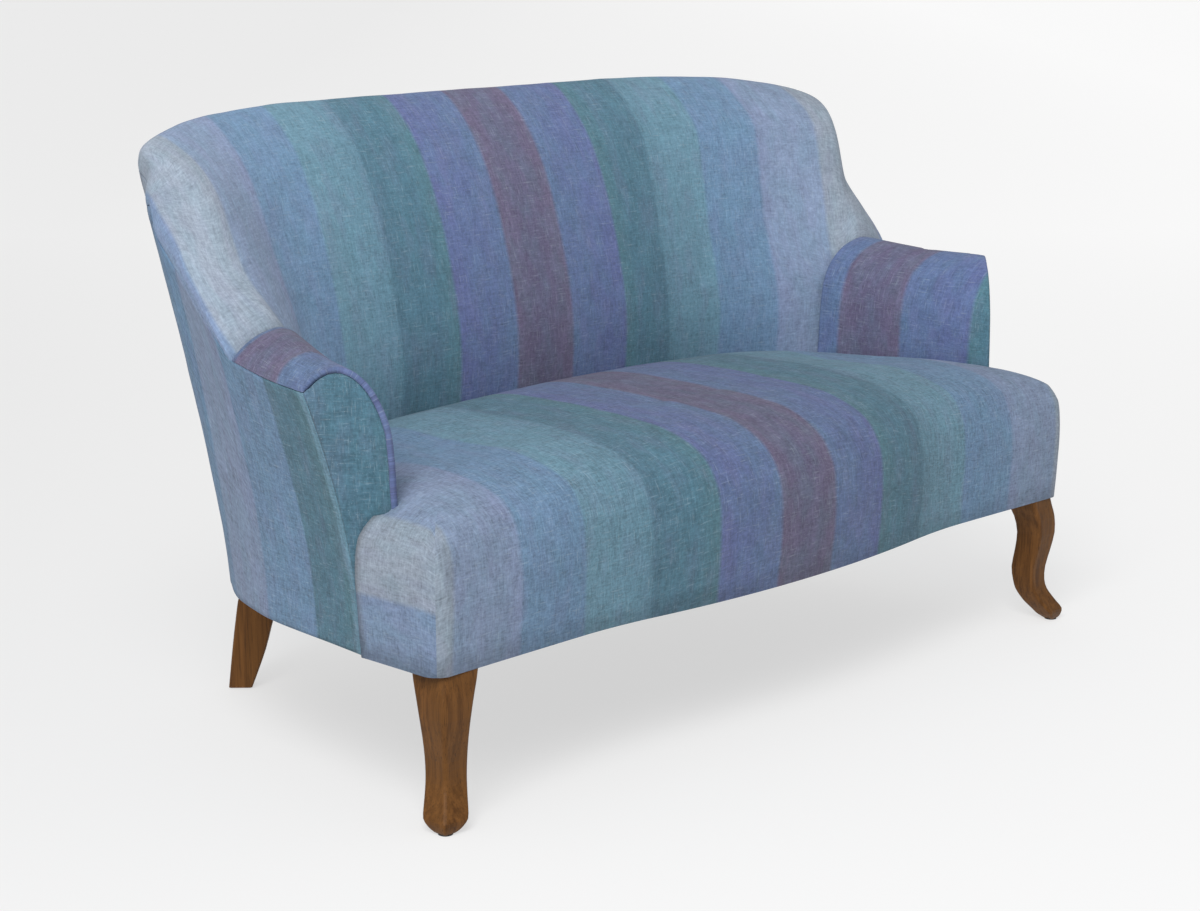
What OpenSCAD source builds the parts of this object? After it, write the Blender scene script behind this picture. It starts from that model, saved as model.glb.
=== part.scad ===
// Upholstered settee with a serpentine T-shaped seat, a raked crescent back and scroll arms.
// Millimetres. Origin on the floor under the middle of the bounding box, front towards -Y.

/* [Heights] */
// Height of the crest of the back above the floor
back_h = 970; // [900:5:1050]
// Height of the seat where it meets the back
seat_h = 467; // [440:1:490]
// Rise of the arm's ridge above the seat where it leaves the back
arm_rise = 204; // [180:1:230]
// Fall of the arm's ridge towards the front
arm_fall = 18; // [0:1:30]
// Height of the underside of the body
leg_h = 230; // [200:1:250]

/* [Seat] */
// Clear width between the fronts of the arms
seat_w = 1434; // [1300:2:2000]
// How far each ear of the seat reaches out past the front of its arm
ear_w = 55; // [40:1:70]
// Depth of the whole sofa at its deepest, from the bowed front to the back
body_d = 825; // [780:1:900]
// How far the middle of the front bows out past its ends
front_bow = 36; // [10:1:60]
// Half of the width over which the front bows
bow_reach = 400; // [300:5:500]
// How far the front swings out again at its ends
front_flick = 6; // [0:1:12]
// Rise of the seat's crown above its back edge
seat_crown = 25; // [10:1:35]
// Radius of the upright corners of the seat's front
ear_r = 30; // [20:1:40]

/* [Back and arms] */
// Depth of the body behind the foot of the back
back_base = 238; // [225:1:260]
// Rake of the inside of the back over its straight part
back_rake = 86; // [60:1:110]
// Length of the inside of an arm
arm_l = 327; // [300:1:350]
// Angle at which the arms open towards the front
arm_flare = 19; // [12:1:22]
// How far the outside of the body leans out from bottom to top at the back
outer_lean = 20; // [10:1:30]
// Angle of the arm facings to the front
facing_turn = 44; // [35:1:50]

/* [Layers] */
// Thickness of a cover with its wadding
cover_t = 12; // [8:1:14]
// Thickness of the outside covers
skin_t = 3; // [2:0.5:5]
// Thickness of the foam of the back
back_foam_t = 42; // [30:1:50]
// Thickness of the foam of the arms
arm_foam_t = 18; // [10:1:22]
// Thickness of the webbing
web_t = 2; // [1.5:0.5:3]
// Width of the webbing
web_w = 50; // [40:1:60]
// Thickness of the hessian and of the dust cover
cloth_t = 1.5; // [1:0.5:2]

/* [Frame] */
// Thickness of the rails of the frame
rail_t = 28; // [20:1:32]
// Height of the rails of the frame
rail_h = 97; // [70:1:105]
// Width of the posts of the frame
post_w = 42; // [35:1:50]
// Thickness of the arm boards
board_t = 22; // [15:1:25]

/* [Legs] */
// Half of the diagonal of the top of a front leg
front_leg_r = 44; // [38:1:48]
// Length of the diagonal of the foot of a rear leg
rear_foot_w = 39; // [30:1:50]
// Thickness of a rear leg
rear_leg_t = 38; // [30:1:44]
// Radius of the leg bolts
bolt_r = 4; // [3:0.5:5]
// Radius of the glides
glide_r = 11; // [8:1:14]
// Height of the glides
glide_h = 2; // [1:0.5:3]

/* [Hidden] */
$fn = 40;
slack = 0.3;               // gap that keeps two soft faces apart
front_y = -body_d / 2;
back_y = body_d / 2;
seat_back_y = back_y - back_base;
half_w = seat_w / 2;
front_w = seat_w + 2 * ear_w;
arm_h = seat_h + arm_rise;
// Inside of the arm at its front and at its rear, at the height of the seat
arm_front = [half_w, seat_back_y - 420];
arm_dir = [sin(arm_flare), -cos(arm_flare)];
arm_rear = arm_front - arm_l * arm_dir;

function lerp(a, b, t) = a + (b - a) * t;
function unit(v) = v / norm(v);
function flip(p) = [-p[0], p[1], p[2]];
// Smooth curve through the points of p, with t from 0 at the first point to 1 at the last
function curve(p, t) =
    let (n = len(p) - 1, s = min(max(t, 0) * n, n - 0.000001), i = floor(s), f = s - i,
        a = p[max(i - 1, 0)], b = p[i], c = p[i + 1], d = p[min(i + 2, n)])
    0.5 * (2 * b + (c - a) * f + (2 * a - 5 * b + 4 * c - d) * f * f
        + (3 * b - a - 3 * c + d) * f * f * f);
// Smooth surface through a net of points, u along the rows and v across them
function sheet(net, u, v) = curve([for (row = net) curve(row, u)], v);
// Point t deeper than the surface, square to it
function under(net, u, v, t) =
    let (e = 0.004, u0 = min(max(u, e), 1 - e), v0 = min(max(v, e), 1 - e),
        du = sheet(net, u0 + e, v0) - sheet(net, u0 - e, v0),
        dv = sheet(net, u0, v0 + e) - sheet(net, u0, v0 - e))
    sheet(net, u, v) - t * unit(cross(du, dv));
// Grid of points that lies t deeper than the surface, over part of it
function grid(net, us, vs, t) = [for (v = vs) [for (u = us) under(net, u, v, t)]];
function steps(a, b, n) = [for (i = [0:n]) a + (b - a) * i / n];

// Closed pad between a front and a back grid of points with the same rows and columns
module pad(front, back) {
    m = len(front);
    n = len(front[0]);
    size = m * n;
    points = concat([for (r = front) for (p = r) p], [for (r = back) for (p = r) p]);
    skin = [for (i = [0:m - 2]) for (j = [0:n - 2]) for (k = [0, 1])
        let (a = i * n + j, b = a + 1, c = a + n, d = c + 1) k == 0 ? [a, c, d] : [a, d, b]];
    rim = concat([for (j = [0:n - 2]) j], [for (i = [0:m - 2]) i * n + n - 1],
        [for (j = [n - 1:-1:1]) (m - 1) * n + j], [for (i = [m - 1:-1:1]) i * n]);
    side = [for (k = [0:len(rim) - 1]) for (h = [0, 1])
        let (a = rim[k], b = rim[(k + 1) % len(rim)])
        h == 0 ? [a, b, b + size] : [a, b + size, a + size]];
    polyhedron(points, concat(skin,
        [for (f = skin) [f[2] + size, f[1] + size, f[0] + size]], side), convexity = 6);
}

// Closed solid through a stack of rings with equal counts of points
module loft(rings) {
    m = len(rings);
    n = len(rings[0]);
    wall = [for (i = [0:m - 2]) for (j = [0:n - 1]) for (k = [0, 1])
        let (a = i * n + j, b = i * n + (j + 1) % n, c = a + n, d = b + n)
        k == 0 ? [a, c, d] : [a, d, b]];
    polyhedron([for (r = rings) for (p = r) p],
        concat(wall, [[for (j = [0:n - 1]) j], [for (j = [n - 1:-1:0]) (m - 1) * n + j]]),
        convexity = 6);
}

// Plan of the body's underside, right half, from the middle of the front to the middle of the back
function bow(x) = front_y + (x < bow_reach ? front_bow * pow(x / bow_reach, 2)
    : front_bow - front_flick * (x - bow_reach) / (front_w / 2 - bow_reach));

// Rows of the inside of the back, from its foot to its crest and over to the rear seam
rise = [-0.054, 0.165, 0.384, 0.612, 0.781, 0.9, 1, 0.91];      // share of the height from seat to crest
lean = [0.06, -0.03, 0.19, 0.56, 0.95, 1.42];                   // share of back_rake
spread = [0, 0.05, 0.22, 0.53, 0.68, 0.84, 0.97, 1];            // share of back_spread
back_spread = 155;                                              // how far the wings open out
crest_in = 47;                                                  // crest in front of the rear seam
// Columns of the inside of the back, from its middle to the root of the wing
across = [0, 0.544, 0.73, 0.893, 1];                            // share of the width at the arms
forward = [0, 4, 16, 50, 110];                                  // how far the plan curves forward
opens = [0, 0, 0.22, 0.62, 1];                                  // share of the row's spread
sinks = [0, 0, 2, 12, 37];                                      // fall of the crest
// Columns of the wing: steps out and back from the root, and the share of the height
wing_mid = [[127, -69, 0.588], [144, -33, 0.759], [164, 7, 0.849], [174, 44, 0.867], [158, 81, 0.815]];
wing_out = [[171, -29, 0.604], [182, 20, 0.749], [186, 28, 0.796], [186, 44, 0.803], [173, 63, 0.770]];
wing_seam = [[175, -3, 0.578], [184, 30, 0.680], [187, 35, 0.750], [185, 45, 0.756], [175, 59, 0.737]];

function level(f) = lerp(seat_h, back_h, f);
function row_y(r) = r < 6 ? seat_back_y + back_rake * lean[r] : back_y - (r == 6 ? crest_in : 4.5);
function back_node(r, c) = [
    arm_rear[0] * across[c] + back_spread * spread[r] * opens[c],
    row_y(r) - forward[c],
    level(rise[r]) - sinks[c] * (r == 5 ? 0.3 : r == 6 ? 1 : r == 7 ? 0.7 : 0)]
    + (c == 4 ? (r == 7 ? root_seam : r == 6 ? [4, 2, 0] : [0, 0, 0]) : [0, 0, 0]);
// The rear seam rounds the root of the wing
root_seam = [-16, 1, 0];
function wing_node(p) = [arm_rear[0] + p[0], seat_back_y + p[1], level(p[2])];
// Behind the rear end of the arm, out by x
function behind(x, z) = [arm_rear[0] + x, arm_rear[1] - 0.14 * x + 3, z];

// Section of the arm at its rear: steps out and back from arm_rear, and height from arm_h
rear_arch = [[4, -2, -122], [10, -4, -75], [24, -9, -40], [48, -18, -13], [85, -26, 1],
    [120, -28, -3], [148, -27, -15], [165, -25, -28], [175, -24, -38]];
// Section at the facing: distance along the facing, and height from the ridge there
front_arch = [[2, -138], [8, -88], [26, -43], [48, -15], [72, -2], [94, -3], [113, -13],
    [127, -27], [132, -37]];
arm_dip = 16;              // the ridge hangs this much, times a quarter, between its ends
tuck = 27;                 // how far the covers run down past the seat
facing_dir = [cos(facing_turn), sin(facing_turn)];
function on_facing(t, z) = [arm_front[0] + 2.5 + t * facing_dir[0],
    arm_front[1] - 2 + t * facing_dir[1], z];
function at_rear(p) = [arm_rear[0] + p[0], arm_rear[1] + p[1], arm_h + p[2]];
arm_back_end = concat([[arm_rear[0] - 3, arm_rear[1] + 1, seat_h - tuck],
    [arm_rear[0], arm_rear[1], seat_h]], [for (p = rear_arch) at_rear(p)]);
arm_front_end = concat([on_facing(-2, seat_h - tuck), on_facing(0, seat_h)],
    [for (p = front_arch) on_facing(p[0], arm_h - arm_fall + p[1])]);
arm_net = [for (i = [0:len(arm_back_end) - 1])
    [for (t = [0, 0.5, 1]) lerp(arm_back_end[i], arm_front_end[i], t)
        - [0, 0, i > 4 ? arm_dip * t * (1 - t) : 0]]];

back_half = [for (r = [0:7]) concat(
    [for (c = [0:r < 3 ? 3 : 4]) back_node(r, c)],
    r == 0 ? [for (x = [24, 36, 48, 60]) behind(x, seat_h - tuck)]
    : r == 1 ? [for (x = [26, 44, 66, 84]) behind(x, arm_h - 105)]
    : r == 2 ? [for (k = [4, 6, 9, 10]) arm_back_end[k] + [k == 4 ? 14 : 0, 3, 0]]
    : [for (w = [wing_mid, wing_out, wing_seam]) wing_node(w[r - 3])])];
back_net = [for (row = back_half) concat([for (c = [7:-1:1]) flip(row[c])], row)];

// The back's cover thins towards the wings, where it folds tightly
function thin(u, v, t) = min(lerp(t, 2.2, min(max((abs(2 * u - 1) - 0.5) / 0.07, 0), 1)),
    lerp(t, 4, min(max((v - 0.86) / 0.14, 0), 1)));
module inside_back_cover() {
    us = steps(0, 1, 28);
    vs = steps(0, 1, 14);
    color("lightsteelblue") pad(grid(back_net, us, vs, 0),
        [for (v = vs) [for (u = us) abs(2 * u - 1) > 0.56 && v < 0.3 ? sheet(back_net, u, v) + [0, 3, 0]
            : under(back_net, u, v, thin(u, v, cover_t))]]);
}
function arm_thin(u, v) = min(cover_t, lerp(4, cover_t, min(u * 8, 1)), lerp(cover_t, 9, u),
    lerp(cover_t, 3, min(max((v - 0.86) / 0.14, 0), 1)));
module arm_cover(side) {
    us = steps(0, 1, 8);
    vs = steps(0, 1, 14);
    color("slateblue") mirror([side, 0, 0]) pad(grid(arm_net, us, vs, 0),
        [for (v = vs) [for (u = us) under(arm_net, u, v, arm_thin(u, v))]]);
}
module inside_arm_cover_right() arm_cover(0);
module inside_arm_cover_left() arm_cover(1);

// Seat. Each ring of its cover is inset by d at the front and the ears, by e along the arms and
// the back and by t behind the ears, and its rear edge stays above low
ear_back = 7;               // gap between an ear of the seat and the facing behind it
seat_sag = 8;               // fall of the crown towards the ears
ear_low = leg_h + 109;      // the back of an ear is closed above this height
function ear_line(x) = arm_front[1] - ear_back + 0.573 * (x - arm_front[0]);
function sag(x, z, k = 1) =
    z - k * seat_sag * pow(abs(x) / half_w, 3) * min(max((z - seat_h + 60) / 50, 0), 1);
function ring_half(d, e, z, low, t, w) = let (
        end = front_w / 2 - d, r = max(ear_r - d, 2), yc = bow(front_w / 2) + d + r,
        iy = max(arm_front[1] - ear_back - t, yc + 0.15 * d),
        ix = arm_front[0] - max(iy - arm_front[1], 0) * tan(arm_flare) - 1.5 - e,
        cx = max(end, ix + 4), corner = [cx, max(ear_line(cx) - t, iy)],
        rear = arm_rear + [-4.5 - e, 2 - e], zb = max(z, low), ze = max(z, min(ear_low, low)),
        q = d > 100 ? lerp([end, yc], [ix, iy], 0.5) : corner,
        side = lerp([end, yc], q, 0.5), mid = lerp(q, [ix, iy], 0.5))
    concat(
        [for (k = [0:8]) let (x = (end - r) * k / 8) [x, bow(x) + d, sag(x, z, w)]],
        [for (a = [-60, -30, 0]) [end - r + r * cos(a), yc + r * sin(a),
            sag(end, z, w * (1 + 0.4 * max(1 - d / 70, 0)))]],
        [[side[0], side[1], sag(side[0], z, w)], [q[0], q[1], sag(q[0], z, w)],
            [mid[0], mid[1], sag(mid[0], ze, w)]],
        [for (k = [0, 0.33, 0.67, 0.95]) let (p = lerp([ix, iy], rear, k))
            [p[0], p[1], sag(p[0], k == 0 ? ze : zb, w)]],
        [for (k = [0.94, 0.86, 0.74, 0.54, 0.36, 0.18])
            let (g = curve([for (c = [0:4]) [back_node(0, c)[0], back_node(0, c)[1]]], k))
            [min(g[0], rear[0] - 4), g[1] - e - 2, sag(min(g[0], rear[0] - 4), zb, w)]]);
function ring(d, e, z, low, t, w = 1) = let (h = ring_half(d, e, z, low, t, w), n = len(h) - 1)
    concat(h, [[0, row_y(0) - e - 2, max(z, low)]], [for (k = [n:-1:1]) flip(h[k])]);
// Profile of the front edge and the crown: inset at the front, inset at the back, drop
seat_edge = [[0, 0, 236], [-4, 0, 150], [-3, 0, 110], [0, 0, 87], [4, 0, 75], [10, 0, 62],
    [20, 0, 47], [34, 1, 34], [53, 4, 24], [75, 30, 16], [105, 62, 10], [150, 92, 5],
    [205, 118, 1.5], [250, 150, 0]];
seat_top = seat_h + seat_crown;
inner_rings = [3, 5, 7, 9, 11, 12, 13];
function edge_ring(k, t) = let (p = seat_edge[k], z = k == 0 ? leg_h + slack : seat_top - p[2] - t)
    ring(p[0] + t, p[1] + 0.7 * t, z, seat_h - 45 + 3 * k, t, k == 13 ? 0 : 1);
// Closed skin between an outer and an inner stack of rings, both open below and capped above
module shell(outer, inner) {
    n = len(outer[0]);
    a = len(outer);
    b = len(inner);
    size = a * n;
    function wall(i, j) = let (p = i * n + j, q = i * n + (j + 1) % n, r = p + n, s = q + n)
        [[p, r, s], [p, s, q]];
    out = [for (i = [0:a - 2]) for (j = [0:n - 1]) for (f = wall(i, j)) f];
    in = [for (i = [0:b - 2]) for (j = [0:n - 1]) for (f = wall(i, j))
        [f[2] + size, f[1] + size, f[0] + size]];
    rim = [for (j = [0:n - 1]) for (h = [0, 1]) let (k = (j + 1) % n)
        h == 0 ? [j, k, k + size] : [j, k + size, j + size]];
    polyhedron(concat([for (r = outer) for (p = r) p], [for (r = inner) for (p = r) p]),
        concat(out, in, rim, [[for (j = [n - 1:-1:0]) (a - 1) * n + j]],
        [[for (j = [0:n - 1]) size + (b - 1) * n + j]]), convexity = 8);
}
module seat_cover() {
    color("cadetblue") shell([for (k = [0:len(seat_edge) - 1]) edge_ring(k, 0)],
        concat([edge_ring(0, cover_t)], [for (k = inner_rings) edge_ring(k, cover_t)]));
}
hessian_z = leg_h + rail_h + 1.5 + 2 * web_t + 0.6;
module seat_foam() {
    t = cover_t + 1;
    z = hessian_z + cloth_t + slack;
    color("khaki") loft(concat([ring(t, 0.7 * t + 3, z, z, t + 2)],
        [for (k = inner_rings) let (p = seat_edge[k], h = seat_top - p[2] - t - (k > 8 ? 3 : 1))
            ring(p[0] + t, p[1] + 0.7 * t + 3, h, h, t + 2, k == 13 ? 0 : 1)]));
}

// Outside. The plan of the underside from the seam at a facing round to the middle of the back
plan = [[front_w / 2 - 8, arm_front[1] + 31.5], [half_w + 39, back_y - 552], [half_w + 32, back_y - 472],
    [half_w + 25, back_y - 407], [half_w + 14, back_y - 354], [half_w - 10, back_y - 277],
    [half_w - 28, back_y - 238], [half_w - 55, back_y - 195], [half_w - 94, back_y - 143],
    [half_w - 190, back_y - 62], [half_w - 288, back_y - 31], [half_w - 398, back_y - 18],
    [0, back_y - outer_lean + 3]];
function foot(q) = curve(plan, q / 12);
// Seam of the outside with the arm, the wing and the crest, along the same steps
function seam(q) = q <= 4 ? sheet(arm_net, 1 - q / 4, 1)
    : q <= 7 ? sheet(back_net, 1, lerp(2 / 7, 1, (q - 4) / 3))
    : q <= 8 ? sheet(back_net, lerp(1, 11 / 14, q - 7), 1)
    : sheet(back_net, lerp(11 / 14, 0.5, (q - 8) / 4), 1);
wing_gap = [0, 1.2, 0];      // keeps the outside clear of the wing's steep seam
function outside(q, t) = let (b = foot(q), s = seam(q) + (q > 3.5 && q < 7.5 ? wing_gap : [0, 0, 0]),
        rear = min(max((q - 3) / 3, 0), 1),
        k = pow(t, lerp(2, lerp(1.25, 1, min(max(q - 9, 0), 1)), rear)))
    [lerp(b[0], s[0] - 0.5, k), lerp(b[1], s[1], q < 6 ? pow(t, 1 + 0.5 * max(1 - q / 2, 0)) : lerp(t, k, 0.6)),
        lerp(leg_h + slack, s[2] - 4.5, t)];
module outside_cover(qs) {
    net = [for (t = steps(0, 1, 5)) [for (q = qs) q <= 12 ? outside(q, t) : flip(outside(24 - q, t))]];
    us = steps(0, 1, len(qs) - 1);
    vs = steps(0, 1, 5);
    color("steelblue") pad(grid(net, us, vs, 0), grid(net, us, vs, skin_t));
}
module outside_arm(side) mirror([side, 0, 0]) outside_cover(steps(0, 7.97, 18));
module outside_arm_cover_right() outside_arm(0);
module outside_arm_cover_left() outside_arm(1);
module outside_back_cover() outside_cover(steps(8.03, 15.97, 20));

// Facings of the arms. Rows: height as a share of the ridge's, inner edge, and outer edge where the
// outside cover doesn't come first
facing_rows = [[0, 44, 130], [0.232, 44, 130], [0.262, 11, 130], [0.4, 11, 130], [0.54, 11.5, 130],
    [0.635, 13, 130], [0.73, 16.5, 130], [0.8, 22, 125], [0.86, 32, 121], [0.91, 44, 117],
    [0.945, 57, 105], [0.968, 73, 91]];
function beside_cover(z) = let (s = seam(0), t = (z - leg_h - slack) / (s[2] - 4.5 - leg_h - slack))
    (lerp(plan[0][0], s[0], pow(min(t, 1), 2)) - arm_front[0] - 2.5 - skin_t - 0.5) / facing_dir[0];
function face_grid(rows, in, out, d, swell, n) = [for (r = rows) [for (k = steps(0, 1, n))
    let (z = lerp(leg_h + slack, arm_h - arm_fall, r[0]), a = r[1] + in,
        b = min(r[2], beside_cover(z)) - out, w = min(1, (b - a) / 40), s = d + swell * w * sin(180 * k),
        p = on_facing(lerp(a, b, k), z))
    p + s * [facing_dir[1], -facing_dir[0], 0]]];
module facing(side) color("darkslateblue") mirror([side, 0, 0])
    pad(face_grid(facing_rows, 3, 0, -2, 5, 6), face_grid(facing_rows, 3, 0, -10, 0, 6));
module arm_facing_right() facing(0);
module arm_facing_left() facing(1);

// Fillings of the back and the arms
foam_in = cover_t + 0.5;
foam_us = [for (k = [7:21]) k / 28];
foam_vs = [for (k = [0:10]) k / 14];
module back_foam() {
    us = foam_us;
    vs = foam_vs;
    color("khaki") pad(grid(back_net, us, vs, foam_in),
        grid(back_net, us, vs, foam_in + back_foam_t));
}
hessian_in = foam_in + back_foam_t + slack;
module back_hessian() {
    us = foam_us;
    vs = foam_vs;
    color("tan") pad(grid(back_net, us, vs, hessian_in),
        grid(back_net, us, vs, hessian_in + cloth_t));
}
module arm_foam(side) {
    us = [for (k = [1:6]) k / 8];
    vs = [for (k = [2:12]) k / 14];
    color("khaki") mirror([side, 0, 0]) pad(grid(arm_net, us, vs, foam_in),
        grid(arm_net, us, vs, foam_in + arm_foam_t));
}
module arm_foam_right() arm_foam(0);
module arm_foam_left() arm_foam(1);

// Frame. The rails stand on the dust cover's line and the posts stand on the rails
rail_z = leg_h + 1.5;
rail_top = rail_z + rail_h;
function inset(q, d) = let (t = unit(foot(min(q + 0.05, 12)) - foot(q - 0.05))) foot(q) + d * [-t[1], t[0]];
front_rail_y = cover_t + 2;
block_x = half_w - 22;
module rail(points) color("burlywood") translate([0, 0, rail_z]) linear_extrude(rail_h) polygon(points);
module front_rail() {
    xs = steps(-block_x, block_x, 24);
    rail(concat([for (x = xs) [x, bow(abs(x)) + front_rail_y]],
        [for (k = [24:-1:0]) [xs[k], bow(abs(xs[k])) + front_rail_y + rail_t]]));
}
module back_rail() {
    xs = [9.7, 10.1, 10.5, 11, 11.5, 12];
    a = [for (q = xs) inset(q, skin_t + 2 * slack)];
    outer = concat(a, [for (k = [4:-1:0]) [-a[k][0], a[k][1]]]);
    rail(concat(outer, [[-a[0][0], a[0][1] - rail_t], [0, a[5][1] - rail_t], [a[0][0], a[0][1] - rail_t]]));
}
block_front = front_y + 44.5;
block_back = block_front + 68;
rear_block_x = inset(9.7, skin_t + slack)[0];
module side_rail(side) mirror([side, 0, 0]) {
    front = [[half_w + 21, block_back], [half_w + 21, arm_front[1] + 45]];
    qs = [1, 2, 3, 4, 5, 6, 7, 7.5, 8, 8.4, 8.7];
    out = [for (q = qs) inset(q, skin_t + slack + (q < 2 ? 6 : 0))];
    in = [for (q = qs) inset(q, skin_t + slack + rail_t + (q < 2 ? 6 : 0))];
    rail(concat(front, out, [for (k = [len(qs) - 1:-1:0]) in[k]],
        [[half_w - 7, arm_front[1] + 45], [half_w - 7, block_back]]));
}
module side_rail_right() side_rail(0);
module side_rail_left() side_rail(1);
module centre_rail() color("burlywood")
    translate([-rail_t / 2, front_y + front_rail_y + rail_t + slack, rail_z])
    cube([rail_t, back_y - outer_lean - skin_t + 1.5 - 2 * rail_t - front_rail_y - front_y, rail_h * 0.7]);
// Places under the body, by their distance in from a corner along its diagonal and off that line
front_leg_off = 12;
rear_leg_off = -143;
function front_spot(in, off) = [front_w / 2 + (off - in) / sqrt(2), front_y + (off + in) / sqrt(2)];
function rear_spot(in, off) = [front_w / 2 + (off - in) / sqrt(2), back_y - (off + in) / sqrt(2)];
front_leg_at = front_spot(85, front_leg_off);
rear_leg_at = rear_spot(267, rear_leg_off);
bolt_z = leg_h - 50;
bolt_l = 100;
module bore(p) translate([p[0], p[1], bolt_z - 1]) cylinder(r = bolt_r + 0.3, h = bolt_l + 2);
module bolt(p, side) color("silver") mirror([side, 0, 0])
    translate([p[0], p[1], bolt_z]) cylinder(r = bolt_r, h = bolt_l);
module leg_bolt_front_right() bolt(front_leg_at, 0);
module leg_bolt_front_left() bolt(front_leg_at, 1);
module leg_bolt_rear_right() bolt(rear_leg_at, 0);
module leg_bolt_rear_left() bolt(rear_leg_at, 1);
module front_block(side) color("burlywood") mirror([side, 0, 0]) difference() {
    translate([block_x, block_front, leg_h]) cube([half_w + 28 - block_x, 68, rail_top - leg_h]);
    bore(front_leg_at);
}
module front_leg_block_right() front_block(0);
module front_leg_block_left() front_block(1);
module rear_block(side) color("burlywood") mirror([side, 0, 0]) difference() {
    e = inset(8.7, skin_t + slack);
    f = inset(8.7, skin_t + slack + rail_t);
    g = inset(9.7, skin_t + slack);
    h = inset(9.2, skin_t + slack);
    translate([0, 0, leg_h]) linear_extrude(rail_top - leg_h)
        polygon([[g[0], back_y - 150], f, e, h, g]);
    bore(rear_leg_at);
}
module rear_leg_block_right() rear_block(0);
module rear_leg_block_left() rear_block(1);

// Upper frame. Its posts end under a crest rail with a level underside
crest_base = level(0.797);
module crest_rail() {
    us = steps(3 / 14, 11 / 14, 24);
    function point(u, d, z) = let (p = sheet(back_net, u, 1),
        t = unit(sheet(back_net, min(u + 0.01, 1), 1) - sheet(back_net, u - 0.01, 1)))
        [p[0] + d * t[1], p[1] - d * t[0], z > 0 ? max(p[2] - 8, crest_base + 10) : crest_base];
    color("burlywood") pad([for (z = [0, 1]) [for (u = us) point(u, 14 + rail_t - 2, z)]],
        [for (z = [0, 1]) [for (u = us) point(u, 14, z)]]);
}
module post(bottom, top, w, d, z0) {
    function box(c, z) = [for (m = [[-1, -1], [1, -1], [1, 1], [-1, 1]])
        [c[0] + m[0] * w / 2, c[1] + m[1] * d / 2, z]];
    color("burlywood") hull() {
        translate([0, 0, z0]) linear_extrude(0.01) polygon([for (p = box(bottom, 0)) [p[0], p[1]]]);
        translate([0, 0, crest_base - 0.01]) linear_extrude(0.01)
            polygon([for (p = box(top, 0)) [p[0], p[1]]]);
    }
}
post_foot = [half_w - 125, back_y - 159];
post_head = [half_w - 92, back_y - 84];
module back_post(side) mirror([side, 0, 0])
    post(post_foot, post_head, post_w, post_w - 8, rail_top);
module back_post_right() back_post(0);
module back_post_left() back_post(1);
upright_x = half_w / 3;
module back_upright(side) mirror([side, 0, 0])
    post([upright_x, back_y - 39], [upright_x, back_y - 33], post_w, post_w - 20, rail_top);
module back_upright_right() back_upright(0);
module back_upright_left() back_upright(1);
tack_z = seat_h - 42;
tack_y = row_y(1) + hessian_in + cloth_t + web_t + 8;
module back_tack_rail() color("burlywood") difference() {
    translate([-half_w + 128, tack_y, tack_z]) cube([2 * (half_w - 128), rail_t, 40]);
    for (m = [0, 1]) mirror([m, 0, 0])
        post(post_foot, post_head, post_w + slack, post_w - 8 + slack, rail_top);
}
module arm_rear_post(side) color("burlywood") mirror([side, 0, 0])
    translate([arm_rear[0] + 30, arm_rear[1] + 22, rail_top]) cube([76, board_t, arm_h - 112 - rail_top]);
module arm_rear_post_right() arm_rear_post(0);
module arm_rear_post_left() arm_rear_post(1);
board_rows = [[0.2335, 14, 44], [0.45, 14, 60], [0.49, 29, 64], [0.54, 29, 69], [0.635, 31, 77],
    [0.73, 35, 87], [0.8, 40, 92], [0.86, 51, 93], [0.9, 62, 90]];
module front_board(side) color("burlywood") mirror([side, 0, 0])
    pad(face_grid(board_rows, 0, 0, -10.3, 0, 1), face_grid(board_rows, 0, 0, -10.3 - board_t, 0, 1));
module arm_front_board_right() front_board(0);
module arm_front_board_left() front_board(1);
module arm_board(points, z, h, side) color("burlywood") mirror([side, 0, 0])
    translate([0, 0, z]) linear_extrude(h) polygon(points);
function behind_board(t) = let (p = on_facing(t, 0), d = 10.6 + board_t)
    [p[0] - d * facing_dir[1], p[1] + d * facing_dir[0]];
arm_end_y = arm_rear[1] + 22;
module arm_top_rail(side) arm_board([behind_board(58), behind_board(84),
    [arm_rear[0] + 103, arm_end_y], [arm_rear[0] + 79, arm_end_y]], arm_h - 137, 25, side);
module arm_top_rail_right() arm_top_rail(0);
module arm_top_rail_left() arm_top_rail(1);
module arm_tack_rail(side) arm_board([behind_board(52), behind_board(68),
    [arm_rear[0] + 83, arm_end_y], [arm_rear[0] + 64, arm_end_y]], seat_h - 22, 38, side);
module arm_tack_rail_right() arm_tack_rail(0);
module arm_tack_rail_left() arm_tack_rail(1);
wing_x = arm_rear[0] + 94;
module wing_board(side) color("burlywood") mirror([side, 0, 0]) translate([wing_x, 0, 0])
    rotate([90, 0, 90]) linear_extrude(board_t - 4) polygon([[arm_end_y, arm_h - 112],
        [arm_end_y + 110, arm_h - 112], [arm_end_y + 186, crest_base - 60],
        [arm_end_y + 205, crest_base], [arm_end_y + 120, crest_base], [arm_end_y + 60, arm_h + 75]]);
module wing_board_right() wing_board(0);
module wing_board_left() wing_board(1);

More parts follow.
